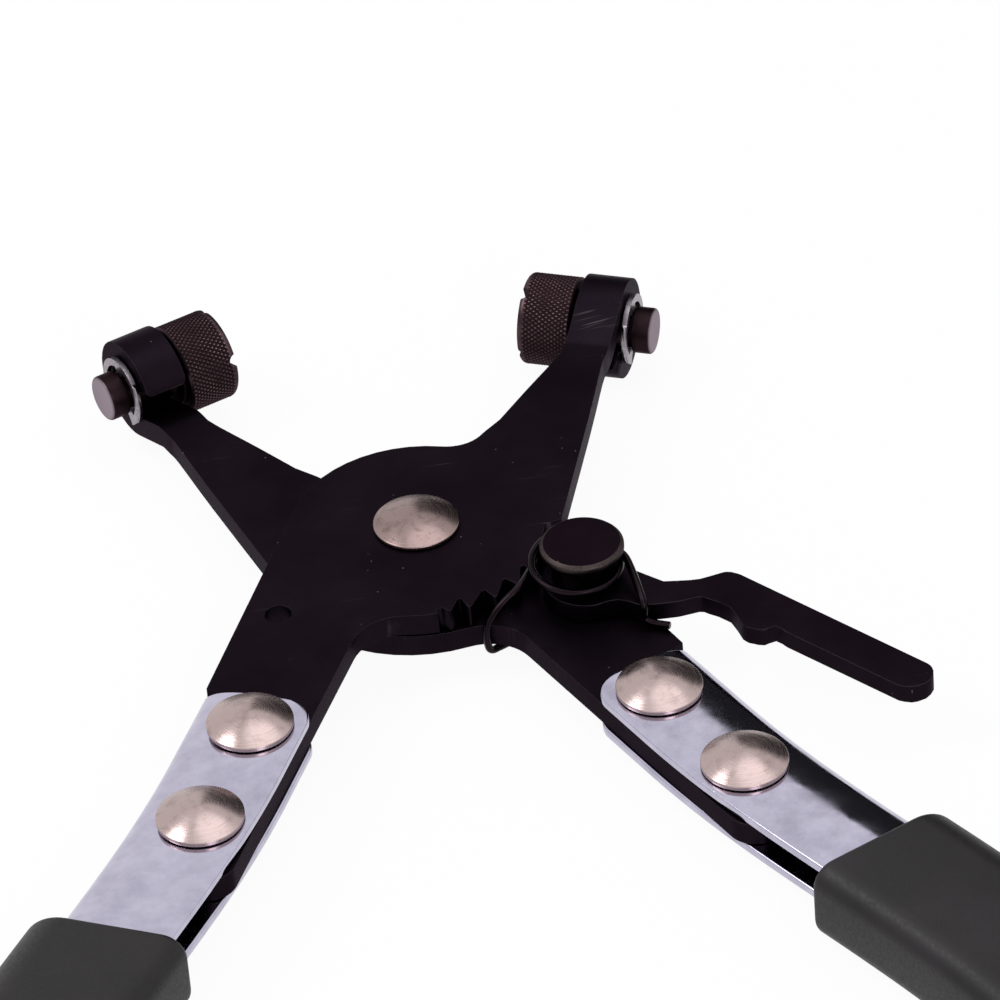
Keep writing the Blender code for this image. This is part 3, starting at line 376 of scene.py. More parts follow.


# Turned steel with a rolled diamond knurl, black oxide: brown-black in the grooves, the tips
# of the diamonds rubbed to a warm grey and painted paler still as their glints
knurlLook = {
    "groove": "#190f11", "flank": "#33262a", "tip": "#836d71", "ground": "#a0929b",
    "grazing": "#c5c0c3", "grain": 0.22, "patch": 3.5, "roughness": (0.30, 0.48),
    "flankSpan": (0.05, 0.75), "tipAndGlintSpan": (0.84, 1.0), "patchSpan": (0.40, 0.62),
    "leastTipTone": 0.10, "bump": (0.3, 0.03),
}


def knurledOxideSteel(name, look):
    material = newMaterial(name)
    here = addNode(material, "TexCoord").outputs["Object"]
    grain = addNode(material, "TexNoise", {
        "Vector": here, "Scale": per(look["grain"]), "Detail": 4.0, "Roughness": 0.7})
    patch = addNode(material, "TexNoise", {
        "Vector": here, "Scale": per(look["patch"]), "Detail": 3.0})
    relief = addNode(material, "Attribute", attribute_name="relief").outputs["Fac"]
    base = twoTone(material, relief, look["flankSpan"], look["groove"], look["flank"])
    # the tips take a paler colour: rubbed metal, and a painted glint on each diamond
    top = addNode(material, "MapRange", {"Value": relief, **limits(look["tipAndGlintSpan"])})
    uneven = addNode(material, "MapRange", {
        "Value": patch, **limits(look["patchSpan"], (look["leastTipTone"], 1))})
    rubbed = addNode(material, "Math", {0: top, 1: uneven}, operation="MULTIPLY")
    wornAndHighlit = addNode(material, "Mix", {0: rubbed, 6: base, 7: linear(look["tip"])}, data_type="RGBA")
    ground = addNode(material, "Attribute", attribute_name="ground").outputs["Fac"]
    cut = addNode(material, "Mix", {
        0: ground, 6: wornAndHighlit, 7: linear(look["ground"])}, data_type="RGBA")
    others = {**metal, "Specular Tint": linear(look["grazing"])}
    return finishSurface(material, look, cut, grain, [(grain, look["bump"])], others)


# Pressed sheet steel, nickel and chromium plated: bright with a cool cast, a little wavy from
# the press, with a fine haze and a few pinholes
chromeLook = {
    "colour": "#c0bccf", "hazy": "#aca8bb", "roughness": (0.06, 0.17),
    "wave": 9.0, "waves": (0.35, 0.12), "haze": 4.0, "hazeSpan": (0.35, 0.68),
    "pit": 2.4, "pitSpan": (0.02, 0.05), "pits": (0.3, 0.03),
}


def chromedSheet(name, look):
    material = newMaterial(name)
    here = addNode(material, "TexCoord").outputs["Object"]
    wave = addNode(material, "TexNoise", {
        "Vector": here, "Scale": per(look["wave"]), "Detail": 2.0})
    haze = addNode(material, "TexNoise", {
        "Vector": here, "Scale": per(look["haze"]), "Detail": 6.0, "Roughness": 0.65})
    cells = addNode(material, "TexVoronoi", {"Vector": here, "Scale": per(look["pit"])})
    pits = addNode(material, "MapRange", {"Value": cells, **limits(look["pitSpan"])})
    colour = twoTone(material, haze, look["hazeSpan"], look["colour"], look["hazy"])
    bumps = [(wave, look["waves"]), (pits, look["pits"])]
    return finishSurface(material, look, colour, haze, bumps, metal)


# Spun rivet steel, satin nickel plate: a warm pale grey with faint rings from the riveting
# spinner, cloudy and browner in patches
rivetLook = {
    "colour": "#b4a19f", "cloudy": "#91807c", "roughness": (0.20, 0.34), "stretch": 0.6,
    "ring": 0.18, "around": 0.9, "rings": (0.55, 0.02),
    "cloud": 2.4, "cloudSpan": (0.50, 0.80), "dents": (0.16, 0.08),
}


def nickeledRivetSteel(name, look):
    material = newMaterial(name)
    here = addNode(material, "TexCoord").outputs["Object"]
    spin = addNode(material, "Attribute", attribute_name="spin").outputs["Vector"]
    around, ring = look["around"], 1 / look["ring"]
    stretched = addNode(material, "Mapping", {"Vector": spin, "Scale": (around, around, ring)})
    rings = addNode(material, "TexNoise", {
        "Vector": stretched, "Scale": 1.0, "Detail": 3.0, "Roughness": 0.6})
    cloud = addNode(material, "TexNoise", {
        "Vector": here, "Scale": per(look["cloud"]), "Detail": 5.0, "Roughness": 0.6,
        "Distortion": 0.4})
    colour = twoTone(material, cloud, look["cloudSpan"], look["colour"], look["cloudy"])
    flat = addNode(material, "VectorMath", {0: spin, 1: (1, 1, 0)}, operation="MULTIPLY")
    radial = addNode(material, "VectorTransform", {"Vector": flat},
                     vector_type="VECTOR", convert_from="OBJECT", convert_to="WORLD")
    bumps = [(rings, look["rings"]), (cloud, look["dents"])]
    others = {**metal, "Anisotropic": look["stretch"], "Tangent": radial}
    return finishSurface(material, look, colour, rings, bumps, others)


# Blanked spring steel, barrel polished: light grey with a soft sheen and fine pits
clipLook = {
    "colour": "#9c949c", "dull": "#7d757b", "roughness": (0.27, 0.38),
    "pit": 0.5, "pitSpan": (0.42, 0.72), "pits": (0.05, 0.03),
}


def springSteelClip(name, look):
    material = newMaterial(name)
    here = addNode(material, "TexCoord").outputs["Object"]
    pits = addNode(material, "TexNoise", {
        "Vector": here, "Scale": per(look["pit"]), "Detail": 4.0, "Roughness": 0.65})
    colour = twoTone(material, pits, look["pitSpan"], look["colour"], look["dull"])
    return finishSurface(material, look, colour, pits, [(pits, look["pits"])], metal)


# Cold drawn spring wire, blackened: dark and smooth, with faint drawing lines along the wire
wireLook = {
    "colour": "#140d12", "bright": "#2f272c", "roughness": (0.20, 0.32), "radius": 0.55,
    "line": 0.14, "run": 9.0, "lineSpan": (0.45, 0.75), "lines": (0.2, 0.02),
}


def drawnSpringWire(name, look):
    material = newMaterial(name)
    spin = addNode(material, "Attribute", attribute_name="spin").outputs["Vector"]
    around, run = look["radius"] / look["line"], 1 / look["run"]
    stretched = addNode(material, "Mapping", {"Vector": spin, "Scale": (around, around, run)})
    lines = addNode(material, "TexNoise", {
        "Vector": stretched, "Scale": 1.0, "Detail": 4.0, "Roughness": 0.6})
    colour = twoTone(material, lines, look["lineSpan"], look["colour"], look["bright"])
    return finishSurface(material, look, colour, lines, [(lines, look["lines"])], metal)


# Dipped PVC sleeve: near black and leathery satin, with soft runs from the dipping and a fine
# pebbled skin that scuffs a little paler
vinylLook = {
    "colour": "#0f0b0e", "scuffed": "#1e191d", "roughness": (0.40, 0.58), "ior": 1.53,
    "sheen": 0.32, "run": 16.0, "runSpan": (0.45, 0.75), "runs": (0.3, 0.4),
    "skin": 0.45, "pebbles": (0.25, 0.05),
}


def dippedVinyl(name, look):
    material = newMaterial(name)
    here = addNode(material, "TexCoord").outputs["Object"]
    skin = addNode(material, "TexNoise", {
        "Vector": here, "Scale": per(look["skin"]), "Detail": 4.0, "Roughness": 0.6})
    run = addNode(material, "TexNoise", {
        "Vector": here, "Scale": per(look["run"]), "Detail": 3.0})
    colour = twoTone(material, run, look["runSpan"], look["colour"], look["scuffed"])
    bumps = [(run, look["runs"]), (skin, look["pebbles"])]
    others = {"IOR": look["ior"], "Specular IOR Level": look["sheen"]}
    return finishSurface(material, look, colour, skin, bumps, others)


plateSteel = blackOxideSteel("blackOxideStampedSteel", oxideLook)
# the turned pin takes more of the pale edge colour: worn metal and a painted highlight
turnedOxide = blackOxideSteel("blackOxideTurnedSteel", {
    **oxideLook, "dark": "#170f15", "light": "#1f171d", "bareEdgeAndHighlight": "#93867f", "edgeWearAndHighlight": 0.22})
knurledSteel = knurledOxideSteel("blackOxideKnurledSteel", knurlLook)
chromePlate = chromedSheet("chromePlatedSheet", chromeLook)
nickelPlate = nickeledRivetSteel("satinNickelRivetSteel", rivetLook)
pivotNickel = nickeledRivetSteel("dulledNickelRivetSteel", {
    **rivetLook, "colour": "#937f7d", "cloudy": "#64554f", "cloud": 1.9, "stretch": 0.3})
clipSteel = springSteelClip("polishedClipSteel", clipLook)
springWire = drawnSpringWire("blackenedSpringWire", wireLook)
gripVinyl = dippedVinyl("dippedBlackVinyl", vinylLook)
print("materials made,", len(bpy.data.materials))


# The plates, the ratchet lever and the clips keep the CAD's own outline, but for the plates'
# shoulders
smoothCopy("upperPlate", plateSteel, "upper_plate", shoulderOf="left")
smoothCopy("lowerPlate", plateSteel, "lower_plate", shoulderOf="right")
smoothCopy("ratchetLever", plateSteel, "ratchet_lever")
for side in ("left", "right"):
    smoothCopy(f"{side}RetainingClip", clipSteel, f"{side}_retaining_clip",
               sharp=40)
print("plates, lever and clips made")


# Rivets: a spun dome on a thin rim above, the shank, and a smaller formed head below
rivet = {
    "shank": 2.4, "head": 6.0, "rim": 0.6, "dome": 5.85, "rise": 1.7, "half": 3.3, "seat": 0.2,
    "tail": 0.85, "tailHeight": 0.6, "edge": 0.2, "seatEdge": 0.06,
    "domeRows": 26, "rimRow": 4, "tailRows": 14, "edgeSteps": 5, "tailSteps": 4, "columns": 128,
}
mainRivet = {
    **rivet, "shank": 3.5, "head": 6.1, "rim": 0.45, "dome": 6.0, "rise": 1.45, "half": 3.55}


def crown(radius, rise, base, steps):
    # part of a ball's section from its top to its rim: the ball's radius is
    # (radius squared + rise squared) / (2 rise)
    ball = (radius ** 2 + rise ** 2) / (2 * rise)
    turn = np.linspace(0, math.asin(radius / ball), steps + 1)
    return np.stack([ball * np.sin(turn), base + rise - ball * (1 - np.cos(turn))], 1)


def rivetGrid(size):
    # the profile runs from the dome's top over its rim, down the shank and round the lower head
    top, smaller, flatter = size["half"] + size["seat"], size["tail"], size["tailHeight"]
    rim, tailRim = top + size["rim"], top + size["rim"] * flatter
    head, shank, tail = size["head"], size["shank"], size["head"] * smaller
    upper = crown(size["dome"], size["rise"], rim, size["domeRows"])
    lower = crown(size["dome"] * smaller, size["rise"] * flatter, tailRim, size["tailRows"])
    lower = lower[::-1] * (1, -1)
    upper, last = upper[:-size["rimRow"]], upper[-size["rimRow"]]
    edge, seat = size["edge"], size["seatEdge"]
    over = [(*last, 0), (head, rim, edge), (head, top, seat), (shank, top, 0)]
    under = [(shank, -top, 0), (tail, -top, seat), (tail, -tailRim, edge), (*lower[0], 0)]
    over, under = roundedRun(over, size["edgeSteps"]), roundedRun(under, size["tailSteps"])
    profile = np.concatenate([upper, over, under, lower[1:]])
    profile[[0, -1], 0] = 0
    return turned(profile, size["columns"])


for side in ("left", "right"):
    for spotName, along in zip(("front", "rear"), layout["rivetsAlong"]):
        points, spin = rivetGrid(rivet)
        centre = onHandle(side, along, layout["rivetLine"], 0.0)
        # the head is up on both handles
        gridPiece(f"{side}{spotName.capitalize()}Rivet", [points * mm + centre], nickelPlate,
                  f"{side}_{spotName}_rivet", "rivet_steel", spin=[spin])
points, spin = rivetGrid(mainRivet)
gridPiece("pivotRivet", [points * mm + pivot], pivotNickel, "pivot_rivet", "rivet_steel",
          spin=[spin])
print("rivets made")


# Pawl pin: a flat knob with a chamfered rim on a thick neck, the journal and a tail below
pawlPin = {
    "knob": 5.9, "top": 8.9, "thick": 1.3, "chamfer": 0.45, "neck": 4.5, "foot": 3.25,
    "journal": 3.0, "shank": 1.6, "seat": 0.05, "tail": 3.0, "tailThick": 0.9, "under": -3.75,
    "rimRound": 0.3, "underRound": 0.2, "neckRound": 0.3, "footRound": 0.15,
    "tailRounds": (0.1, 0.4), "roundSteps": 6, "columns": 160, "paleRimFrom": 0.5, "paleRimIn": 0.05,
}


def pinProfile(size):
    # (radius, level, rounding) corners from the middle of the knob's top to that of the
    # tail's end, made a rounded profile
    knob, top, neck, foot = size["knob"], size["top"], size["neck"], size["foot"]
    journal, seat, shank, tail = size["journal"], size["seat"], size["shank"], size["tail"]
    chamfer, knobUnder, under = size["chamfer"], top - size["thick"], size["under"]
    tailEnd, tailRounds = under - size["tailThick"], size["tailRounds"]
    corners = [
        (0, top, 0), (knob - chamfer, top, size["rimRound"]),
        (knob, top - chamfer, size["rimRound"]), (knob, knobUnder, size["underRound"]),
        (neck, knobUnder, size["neckRound"]), (neck, foot, size["footRound"]),
        (journal, foot, 0), (journal, seat, 0), (shank, seat, 0), (shank, under, 0),
        (tail, under, tailRounds[0]), (tail, tailEnd, tailRounds[1]), (0, tailEnd, 0)]
    return roundedRun(corners, size["roundSteps"])


profile = pinProfile(pawlPin)
points, _ = turned(profile, pawlPin["columns"])
# the knob's rounded rim is painted with the pale edge colour: a rubbed rim and a painted highlight ring
paleRimFrom = (pawlPin["knob"] - pawlPin["chamfer"] - pawlPin["paleRimIn"],
           pawlPin["top"] - pawlPin["thick"] + pawlPin["paleRimFrom"])
rubbedAndHighlitRim = np.tile((profile > paleRimFrom).all(axis=1)[:, None], points.shape[1])
pinSpot = pivot + layout["pinAt"] * mm * heading(layout["pinAngle"])
gridPiece("pawlPin", [points * mm + pinSpot], turnedOxide, "pawl_pin", "oxide_steel",
          edge=[rubbedAndHighlitRim])
print("pawl pin made")


# Swivel jaws: the pin, its clip groove and collar, and a knurled head with two crossing slots;
# the polish values are how high the material takes each smooth part to be, 1 being the tips,
# whose paler colour is partly a painted glint
jaw = {
    "pin": 3.4, "overhang": 4.1, "pinEdge": 0.5, "groove": 0.7, "grooveEdge": 0.08,
    "clipStart": 3.55, "clipThick": 0.7, "collar": 5.0, "collarLength": 0.5, "collarEdge": 0.12,
    "head": 6.74, "headLength": 7.9, "backEdge": 0.3, "endRound": 0.8, "gap": 0.3,
    "slotRadius": 1.0, "slotDepth": 1.2, "turn": 20.0, "hair": 0.001, "cornerSteps": 4,
    "knurls": 60, "knurlRun": 0.98, "knurlDepth": 0.2, "knurlTop": 0.72, "knurlFades": (0.3, 0.2),
    "slotColumns": 14, "landColumns": 104, "middleRows": 7, "endRows": 12, "roundRows": 8,
    "sideRows": 66, "endPolish": 0.72, "rimPolish": 0.88, "rimRows": 6, "pinPolish": 0.3,
    "backPolish": 0.86, "backRows": 2, "pinEndGround": (0.5, 0.8, 1.0, 1.0),
}


def jawBack(size, start):
    # (radius, level, rounding) corners from the head's back over the collar and the grooved
    # pin to the middle of its end, made a rounded profile
    head, back, collar, pin = size["head"], size["backEdge"], size["collar"], size["pin"]
    eye, gap, grooved = layout["eyeWidth"] / 2, size["gap"], pin - size["groove"]
    foot, top = size["clipStart"] - gap, size["clipStart"] + size["clipThick"] + gap
    corners = [
        (head, -start - back, 0), (head - back, -start, size["collarEdge"]),
        (collar, -start, 0), (collar, -eye - gap, size["collarEdge"]), (pin, -eye - gap, 0),
        (pin, foot, size["grooveEdge"]), (grooved, foot, 0), (grooved, top, 0),
        (pin, top, size["grooveEdge"]), (pin, eye + size["overhang"], size["pinEdge"]),
        (0, eye + size["overhang"], 0)]
    return roundedRun(corners, size["cornerSteps"])[1:]


def triangleWave(phase):
    # 0 at each whole phase and 1 halfway between two
    return 1 - np.abs(2 * (phase % 1) - 1)


def jawEnd(size, end):
    # The head's end is a height over the (radius, turn) grid: the depth below the end plane is
    # the greater of the rounded edge's and the slots'. The turns are packed so that the slot
    # walls lie on grid lines.
    middle = size["slotDepth"] - size["slotRadius"]
    half = math.sqrt(size["slotRadius"] ** 2 - middle ** 2)
    corner = half * math.sqrt(2)
    slotShare = np.linspace(-1, 1, size["slotColumns"] + 1)
    landShare = np.linspace(0, 1, size["landColumns"] + 1)
    inSlot = np.r_[np.tile(np.r_[1 + 0 * slotShare, 0 * landShare], 4), 1].astype(bool)
    flatEnd = size["head"] - size["endRound"]
    flatRows = np.r_[np.linspace(0, corner * (1 - size["hair"]), size["middleRows"]),
                     np.linspace(corner * (1 + size["hair"]), flatEnd, size["endRows"])]
    roll = np.linspace(0, math.pi / 2, size["roundRows"] + 1)[1:]
    radius = np.r_[flatRows, flatEnd + size["endRound"] * np.sin(roll)][:, None]
    edgeDepth = np.r_[0 * flatRows, size["endRound"] * (1 - np.cos(roll))][:, None]
    slotTurn = np.arcsin(np.minimum(half / np.maximum(radius, 1e-9), math.sqrt(0.5)))
    quarter = math.pi / 2
    land = slotTurn + (quarter - 2 * slotTurn) * landShare
    turns = [np.concatenate([slotTurn * slotShare, land], 1) + q * quarter for q in range(4)]
    turn = np.concatenate([*turns, 4 * quarter - slotTurn], 1)
    apart = np.abs(np.stack([radius * np.sin(turn), radius * np.cos(turn)]))
    floor = middle + np.sqrt(np.maximum(size["slotRadius"] ** 2 - apart ** 2, 0))
    inside = (apart < half * (1 + size["hair"] / 10)) & (inSlot | (radius < corner))
    depth = np.maximum(edgeDepth, np.where(inside, floor, 0).max(axis=0))
    return ringPoints(radius, turn, depth - end), turn[-1], depth[-1]


def jawGrid(size):
    # The side carries on from the end's rim, and its radius drops by the knurl's depth in the
    # grooves: two trains of ridges cross, and the relief is the lower of the two triangle
    # waves. Behind it the back, the collar and the grooved pin are turned from a profile.
    start = size["gap"] + layout["eyeWidth"] / 2 + size["collarLength"]
    end = start + size["headLength"]
    endPoints, turn, rimDepth = jawEnd(size, end)
    share = np.linspace(0, 1, size["sideRows"] + 1)[1:, None]
    sideEnd = size["headLength"] - size["backEdge"]
    sideDepth = rimDepth + (sideEnd - rimDepth) * share
    around, along = size["knurls"] * turn / (2 * math.pi), sideDepth / size["knurlRun"]
    relief = np.minimum(triangleWave(around + along), triangleWave(around - along))
    relief = np.minimum(relief / size["knurlTop"], 1)
    frontFade, backFade = size["knurlFades"]
    fade = np.clip((sideDepth - size["endRound"]) / frontFade, 0, 1)
    fade = fade * np.clip((sideEnd - sideDepth) / backFade, 0, 1)
    side = size["head"] - size["knurlDepth"] * (1 - relief) * fade
    rest = jawBack(size, start)
    restPoints = ringPoints(rest[:, :1], turn, rest[:, 1:])
    endRelief = np.full(endPoints.shape[:2], size["endPolish"])
    endRelief[-size["rimRows"]:] = size["rimPolish"]
    restRelief = np.full(restPoints.shape[:2], size["pinPolish"])
    restRelief[:size["backRows"]] = size["backPolish"]
    mostRelief = size["backPolish"] + (1 - size["backPolish"]) * fade
    sideRelief = np.minimum(1 - (1 - relief) * fade, mostRelief)
    sidePoints = ringPoints(side, turn, sideDepth - end)
    points = np.concatenate([endPoints, sidePoints, restPoints])
    ground = np.zeros(points.shape[:2])
    ground[-len(size["pinEndGround"]):] = np.array(size["pinEndGround"])[:, None]
    return points, np.concatenate([endRelief, sideRelief, restRelief]), ground


for side, sign in (("left", -1), ("right", 1)):
    outward = heading(-layout["jawSplay"]) * (sign, 1, 1)
    centre = (eyeCentre * (sign, 1, 1) + (0, 0, -sign * layout["eyeDrop"])) * mm + pivot
    facing = Vector(outward).to_track_quat("Z", "X").to_matrix()
    facing = facing @ Matrix.Rotation(math.radians(jaw["turn"]), 3, "Z")
    points, relief, ground = jawGrid(jaw)
    gridPiece(f"{side}SwivelJaw", [points * mm @ np.array(facing).T + centre], knurledSteel,
              f"{side}_swivel_jaw", "knurled_steel", sharp=50, relief=[relief], ground=[ground])
print("swivel jaws made")


# Handles: a channel pressed from sheet, open inward, and a dipped grip, both along a slow bow
channel = {
    "start": 43.0, "front": 42.0, "length": 128.0, "sheet": 1.4, "innerEdge": 0.1,
    "frontRound": 4.0, "edgeRound": 0.32, "edgeShare": 0.98,
    "bow": 6.6, "bowStart": 0.10, "bowPeak": 0.70, "bowReturn": 0.38, "bowSpan": 0.40,
    "crownFrom": 5.0, "crownPower": 3.2,
    "stations": 110, "edgeSteps": 4, "frontSteps": 18, "foldSteps": 36, "flatSteps": 6,
}
grip = {
    "start": 94.0, "half": 3.5, "wall": 2.7, "innerRound": 0.8, "endRound": 2.5, "gap": 0.3,
    "lip": 1.0, "lipEdge": (0.2, 0.25), "endShares": (0.93, 0.97, 1.0),
    "stations": 90, "innerStations": 24, "lipSteps": 9, "innerSkip": 3,
    "foldSteps": 28, "cornerSteps": 8,
}


def bowAt(along):
    # a squared sine up to the full bow, then a parabola back
    share = (along - channel["start"]) / channel["length"]
    start, peak = channel["bowStart"], channel["bowPeak"]
    climb = np.sin(math.pi / 2 * np.clip((share - start) / (peak - start), 0, 1)) ** 2
    fall = 1 - channel["bowReturn"] * ((share - peak) / channel["bowSpan"]) ** 2
    return channel["bow"] * np.where(share < peak, climb, fall)


def channelSide(face, turnIn, edge, thin):
    # half the sheet's section on one of its sides, from its edge to the middle of the fold,
    # and its mirror image below; from crownFrom outward the face falls away as
    # height * sqrt(1 - share to a power)
    sheet, rounding = channel["sheet"], channel["edgeRound"]
    reach = layout["foldCentre"] + face
    start = np.maximum(channel["crownFrom"], edge + rounding)
    small = np.minimum(rounding, (sheet - 2 * thin) / 2 * channel["edgeShare"])
    middle = layout["stackHalf"] - sheet / 2
    run = [(edge, middle + 0 * edge)]
    for turn in np.linspace(0, math.pi / 2, channel["edgeSteps"] + 1):
        drop = small * (1 - math.sin(turn))
        run.append((edge + small * (1 - math.cos(turn)), face + turnIn * drop))
    for share in np.linspace(0, 1, channel["flatSteps"] + 1)[1:]:
        run.append((edge + small + (start - edge - small) * share, face + 0 * edge))
    for turn in np.linspace(0, math.pi / 2, channel["foldSteps"] + 1)[1:]:
        share = np.sin(turn)  # steps close up where the face is steep
        fall = np.sqrt(1 - share ** channel["crownPower"] + 0 * edge)
        run.append((start + (reach - start) * share, face * fall))
    across, level = (np.concatenate(values, 1) for values in zip(*run))
    across = np.concatenate([across, across[:, -2::-1]], 1)
    return across, np.concatenate([level, -level[:, -2::-1]], 1)


def channelGrids(side):
    # the sheet's section is a loop from the middle of its upper edge, over the outside, to the
    # lower edge and back along the inside. It is carried along the bow, set in at the front by
    # the rounded corner, and made thinner at both ends by a quarter circle.
    outer, rounding, frontRound = layout["stackHalf"], channel["edgeRound"], channel["frontRound"]
    quarter = np.linspace(0, math.pi / 2, channel["edgeSteps"] + 1)
    corner = np.linspace(0, math.pi / 2, channel["frontSteps"] + 1)
    first, last = channel["front"], channel["start"] + channel["length"]
    rise, fall = rounding * (1 - np.cos(quarter)), rounding * (1 - np.sin(quarter))
    cornerAlong = first + rounding + frontRound * (1 - np.cos(corner))
    straight = np.linspace(cornerAlong[-1], last - rounding, channel["stations"])[1:]
    along = np.r_[first + rise[:-1], cornerAlong, straight, (last - rise)[-2::-1]][:, None]
    thin = np.r_[fall[:-1], 0 * corner, 0 * straight, fall[-2::-1]][:, None]
    cornerInset = frontRound * (1 - np.sin(corner))
    inset = np.r_[0 * fall[:-1] + frontRound, cornerInset, 0 * straight, 0 * fall[:-1]][:, None]
    edge = channel["innerEdge"] + inset + thin
    outAcross, outLevel = channelSide(outer - thin, -1, edge, thin)
    inAcross, inLevel = channelSide(outer - channel["sheet"] + thin, 1, edge, thin)
    loopAcross = np.concatenate([outAcross, inAcross[:, -2::-1]], 1)
    loopLevel = np.concatenate([outLevel, inLevel[:, -2::-1]], 1)
    skin = onHandle(side, along, loopAcross + bowAt(along), loopLevel)
    count = outAcross.shape[1]
    caps = [np.stack([skin[row, :count], skin[row, ::-1][:count]]) for row in (0, -1)]
    return [skin, *caps]


def gripPath():
    # (along, grown by, drawn in by) of each ring, from the inside of the closed end, forward
    # along the channel, round the lip and back along the outside to the outside of the end
    half, wall, lip, start = grip["half"], grip["wall"], grip["lip"], grip["start"]
    end, endRound = channel["start"] + channel["length"] + grip["gap"], grip["endRound"]
    quarter = np.linspace(0, math.pi / 2, grip["lipSteps"] + 1)
    edgeAlong, edgeGrown = grip["lipEdge"]
    path = [(end + endRound, 0, 1.0), (end + endRound, 0, endRound / half)]
    path += [(end + endRound * math.sin(turn), 0, endRound * (1 - math.cos(turn)) / half)
             for turn in quarter[::-grip["innerSkip"]]]
    path += [(along, 0, 0) for along in np.linspace(end, start + edgeAlong, grip["innerStations"])]
    path += [(start, edgeGrown, 0), (start, wall - lip, 0)]
    path += [(start + lip * (1 - math.cos(turn)), wall - lip + lip * math.sin(turn), 0)
             for turn in quarter[1:]]
    path += [(along, wall, 0) for along in np.linspace(start + lip, end, grip["stations"])[1:]]
    tip = endRound + wall
    path += [(end + tip * math.sin(turn), wall, tip * (1 - math.cos(turn)) / (half + wall))
             for turn in quarter[1:]]
    path += [(end + tip, wall, share) for share in grip["endShares"]]
    return (np.array(values)[:, None] for values in zip(*path))


def gripGrid(side):
    # each ring is the channel's outline, grown by an offset and drawn in towards its middle at
    # the rounded end: by the same distance across and up, down to the middle line
    along, grown, drawn = gripPath()
    half, corner, edge = grip["half"], grip["innerRound"], channel["innerEdge"]
    middle = (edge - corner + layout["foldCentre"] + half) / 2
    halfWidth = middle - (edge - corner)
    turn = np.linspace(0, math.pi, grip["foldSteps"] + 1)
    lower = np.linspace(math.pi, 1.5 * math.pi, grip["cornerSteps"] + 1)
    upper = np.linspace(1.5 * math.pi, 2 * math.pi, grip["cornerSteps"] + 1)
    across = np.concatenate([
        layout["foldCentre"] + (half + grown) * np.sin(turn),
        edge + (corner + grown) * np.sin(lower), edge + (corner + grown) * np.sin(upper)], 1)
    level = np.concatenate([
        (half + grown) * np.cos(turn), corner - half + (corner + grown) * np.cos(lower),
        half - corner + (corner + grown) * np.cos(upper)], 1)
    across = np.concatenate([across, across[:, :1]], 1)
    level = np.concatenate([level, level[:, :1]], 1)
    narrower = 1 - drawn * (half + grown) / (halfWidth + grown)
    across = middle + (across - middle) * np.where(drawn >= 1, 0, narrower)
    return onHandle(side, along, across + bowAt(along), level * (1 - drawn))


for side in ("left", "right"):
    gridPiece(f"{side}HandleChannel", channelGrids(side), chromePlate,
              f"{side}_handle_channel", "chrome_sheet")
    gridPiece(f"{side}Grip", [gripGrid(side)], gripVinyl, f"{side}_grip", "grip_vinyl")
print("handles and grips made")


# Torsion spring: the wire hooks under the lower plate, runs up the rim to the coil round the
# pawl pin, and comes down in front of the lever to a foot on the lower plate
spring = {
    "wire": 0.55, "coil": 6.2, "shift": 1.0, "startAngle": 165.0, "steps": 35, "perTurn": 24,
    "pitch": 1.4, "tilt": 0.4, "gap": 0.3, "seat": 0.2,
    "legRadius": 21.7, "legRise": ((-68.5, 1.8), (-63.5, 3.2), (-56.0, 4.4)),
    "hookAngle": -71.5, "hookReach": 3.7, "nearEdge": (0.130 * 54, -0.154 * 54),
    "legLean": (0.9, -2.0), "footReach": 3.6, "footAngle": -27.0, "pawlFloor": 0.15,
    "pawlTop": 2.95, "sides": 18, "runSteps": 5,
    "endShare": 0.82, "endReach": 0.12, "slant": (0.45, -0.62, 0.64),
}


def springRun(size):
    # the same spots as the CAD's wire, with a smooth run through them
    wire, face = size["wire"], layout["plateFace"]
    pin = layout["pinAt"] * heading(layout["pinAngle"])
    turns = np.arange(size["steps"] + 1) / size["perTurn"]
    angle = np.radians(size["startAngle"] - 360 * turns)
    low = face + size["seat"] + wire
    coil = pin - (size["shift"], 0, 0) + np.stack([
        size["coil"] * np.cos(angle), size["coil"] * np.sin(angle),
        low + size["pitch"] * turns + size["tilt"] * np.sin(angle)], 1)
    post = size["legRadius"] * heading(size["hookAngle"])
    way = heading(layout["handleSplay"])
    under = np.array([0, 0, face + size["seat"] + wire])
    up = np.array([0, 0, 1.0])
    lead = [
        post + way * size["hookReach"] - under,
        post + way * size["hookReach"] / 2 - under,
        post + way * wire - under + up * wire / 4,
        post - up * (face - wire),
        post,
    ]
    lead += [size["legRadius"] * heading(turn) + up * level for turn, level in size["legRise"]]
    drop = pin + (size["nearEdge"][0], size["nearEdge"][1] - wire - size["gap"], 0)
    floor = size["pawlFloor"] + wire
    leg = [
        coil[-1] + (*size["legLean"], -wire),
        drop + (0, wire, size["pawlTop"] + 2 * wire),
        drop + up * (size["pawlTop"] - wire),
        drop + up * (floor + wire),
        drop + heading(size["footAngle"]) * size["footReach"] / 3 + up * floor,
        drop + heading(size["footAngle"]) * size["footReach"] + up * floor,
    ]
    return smoothRun(np.concatenate([np.array(lead), coil, np.array(leg)]), size["runSteps"])


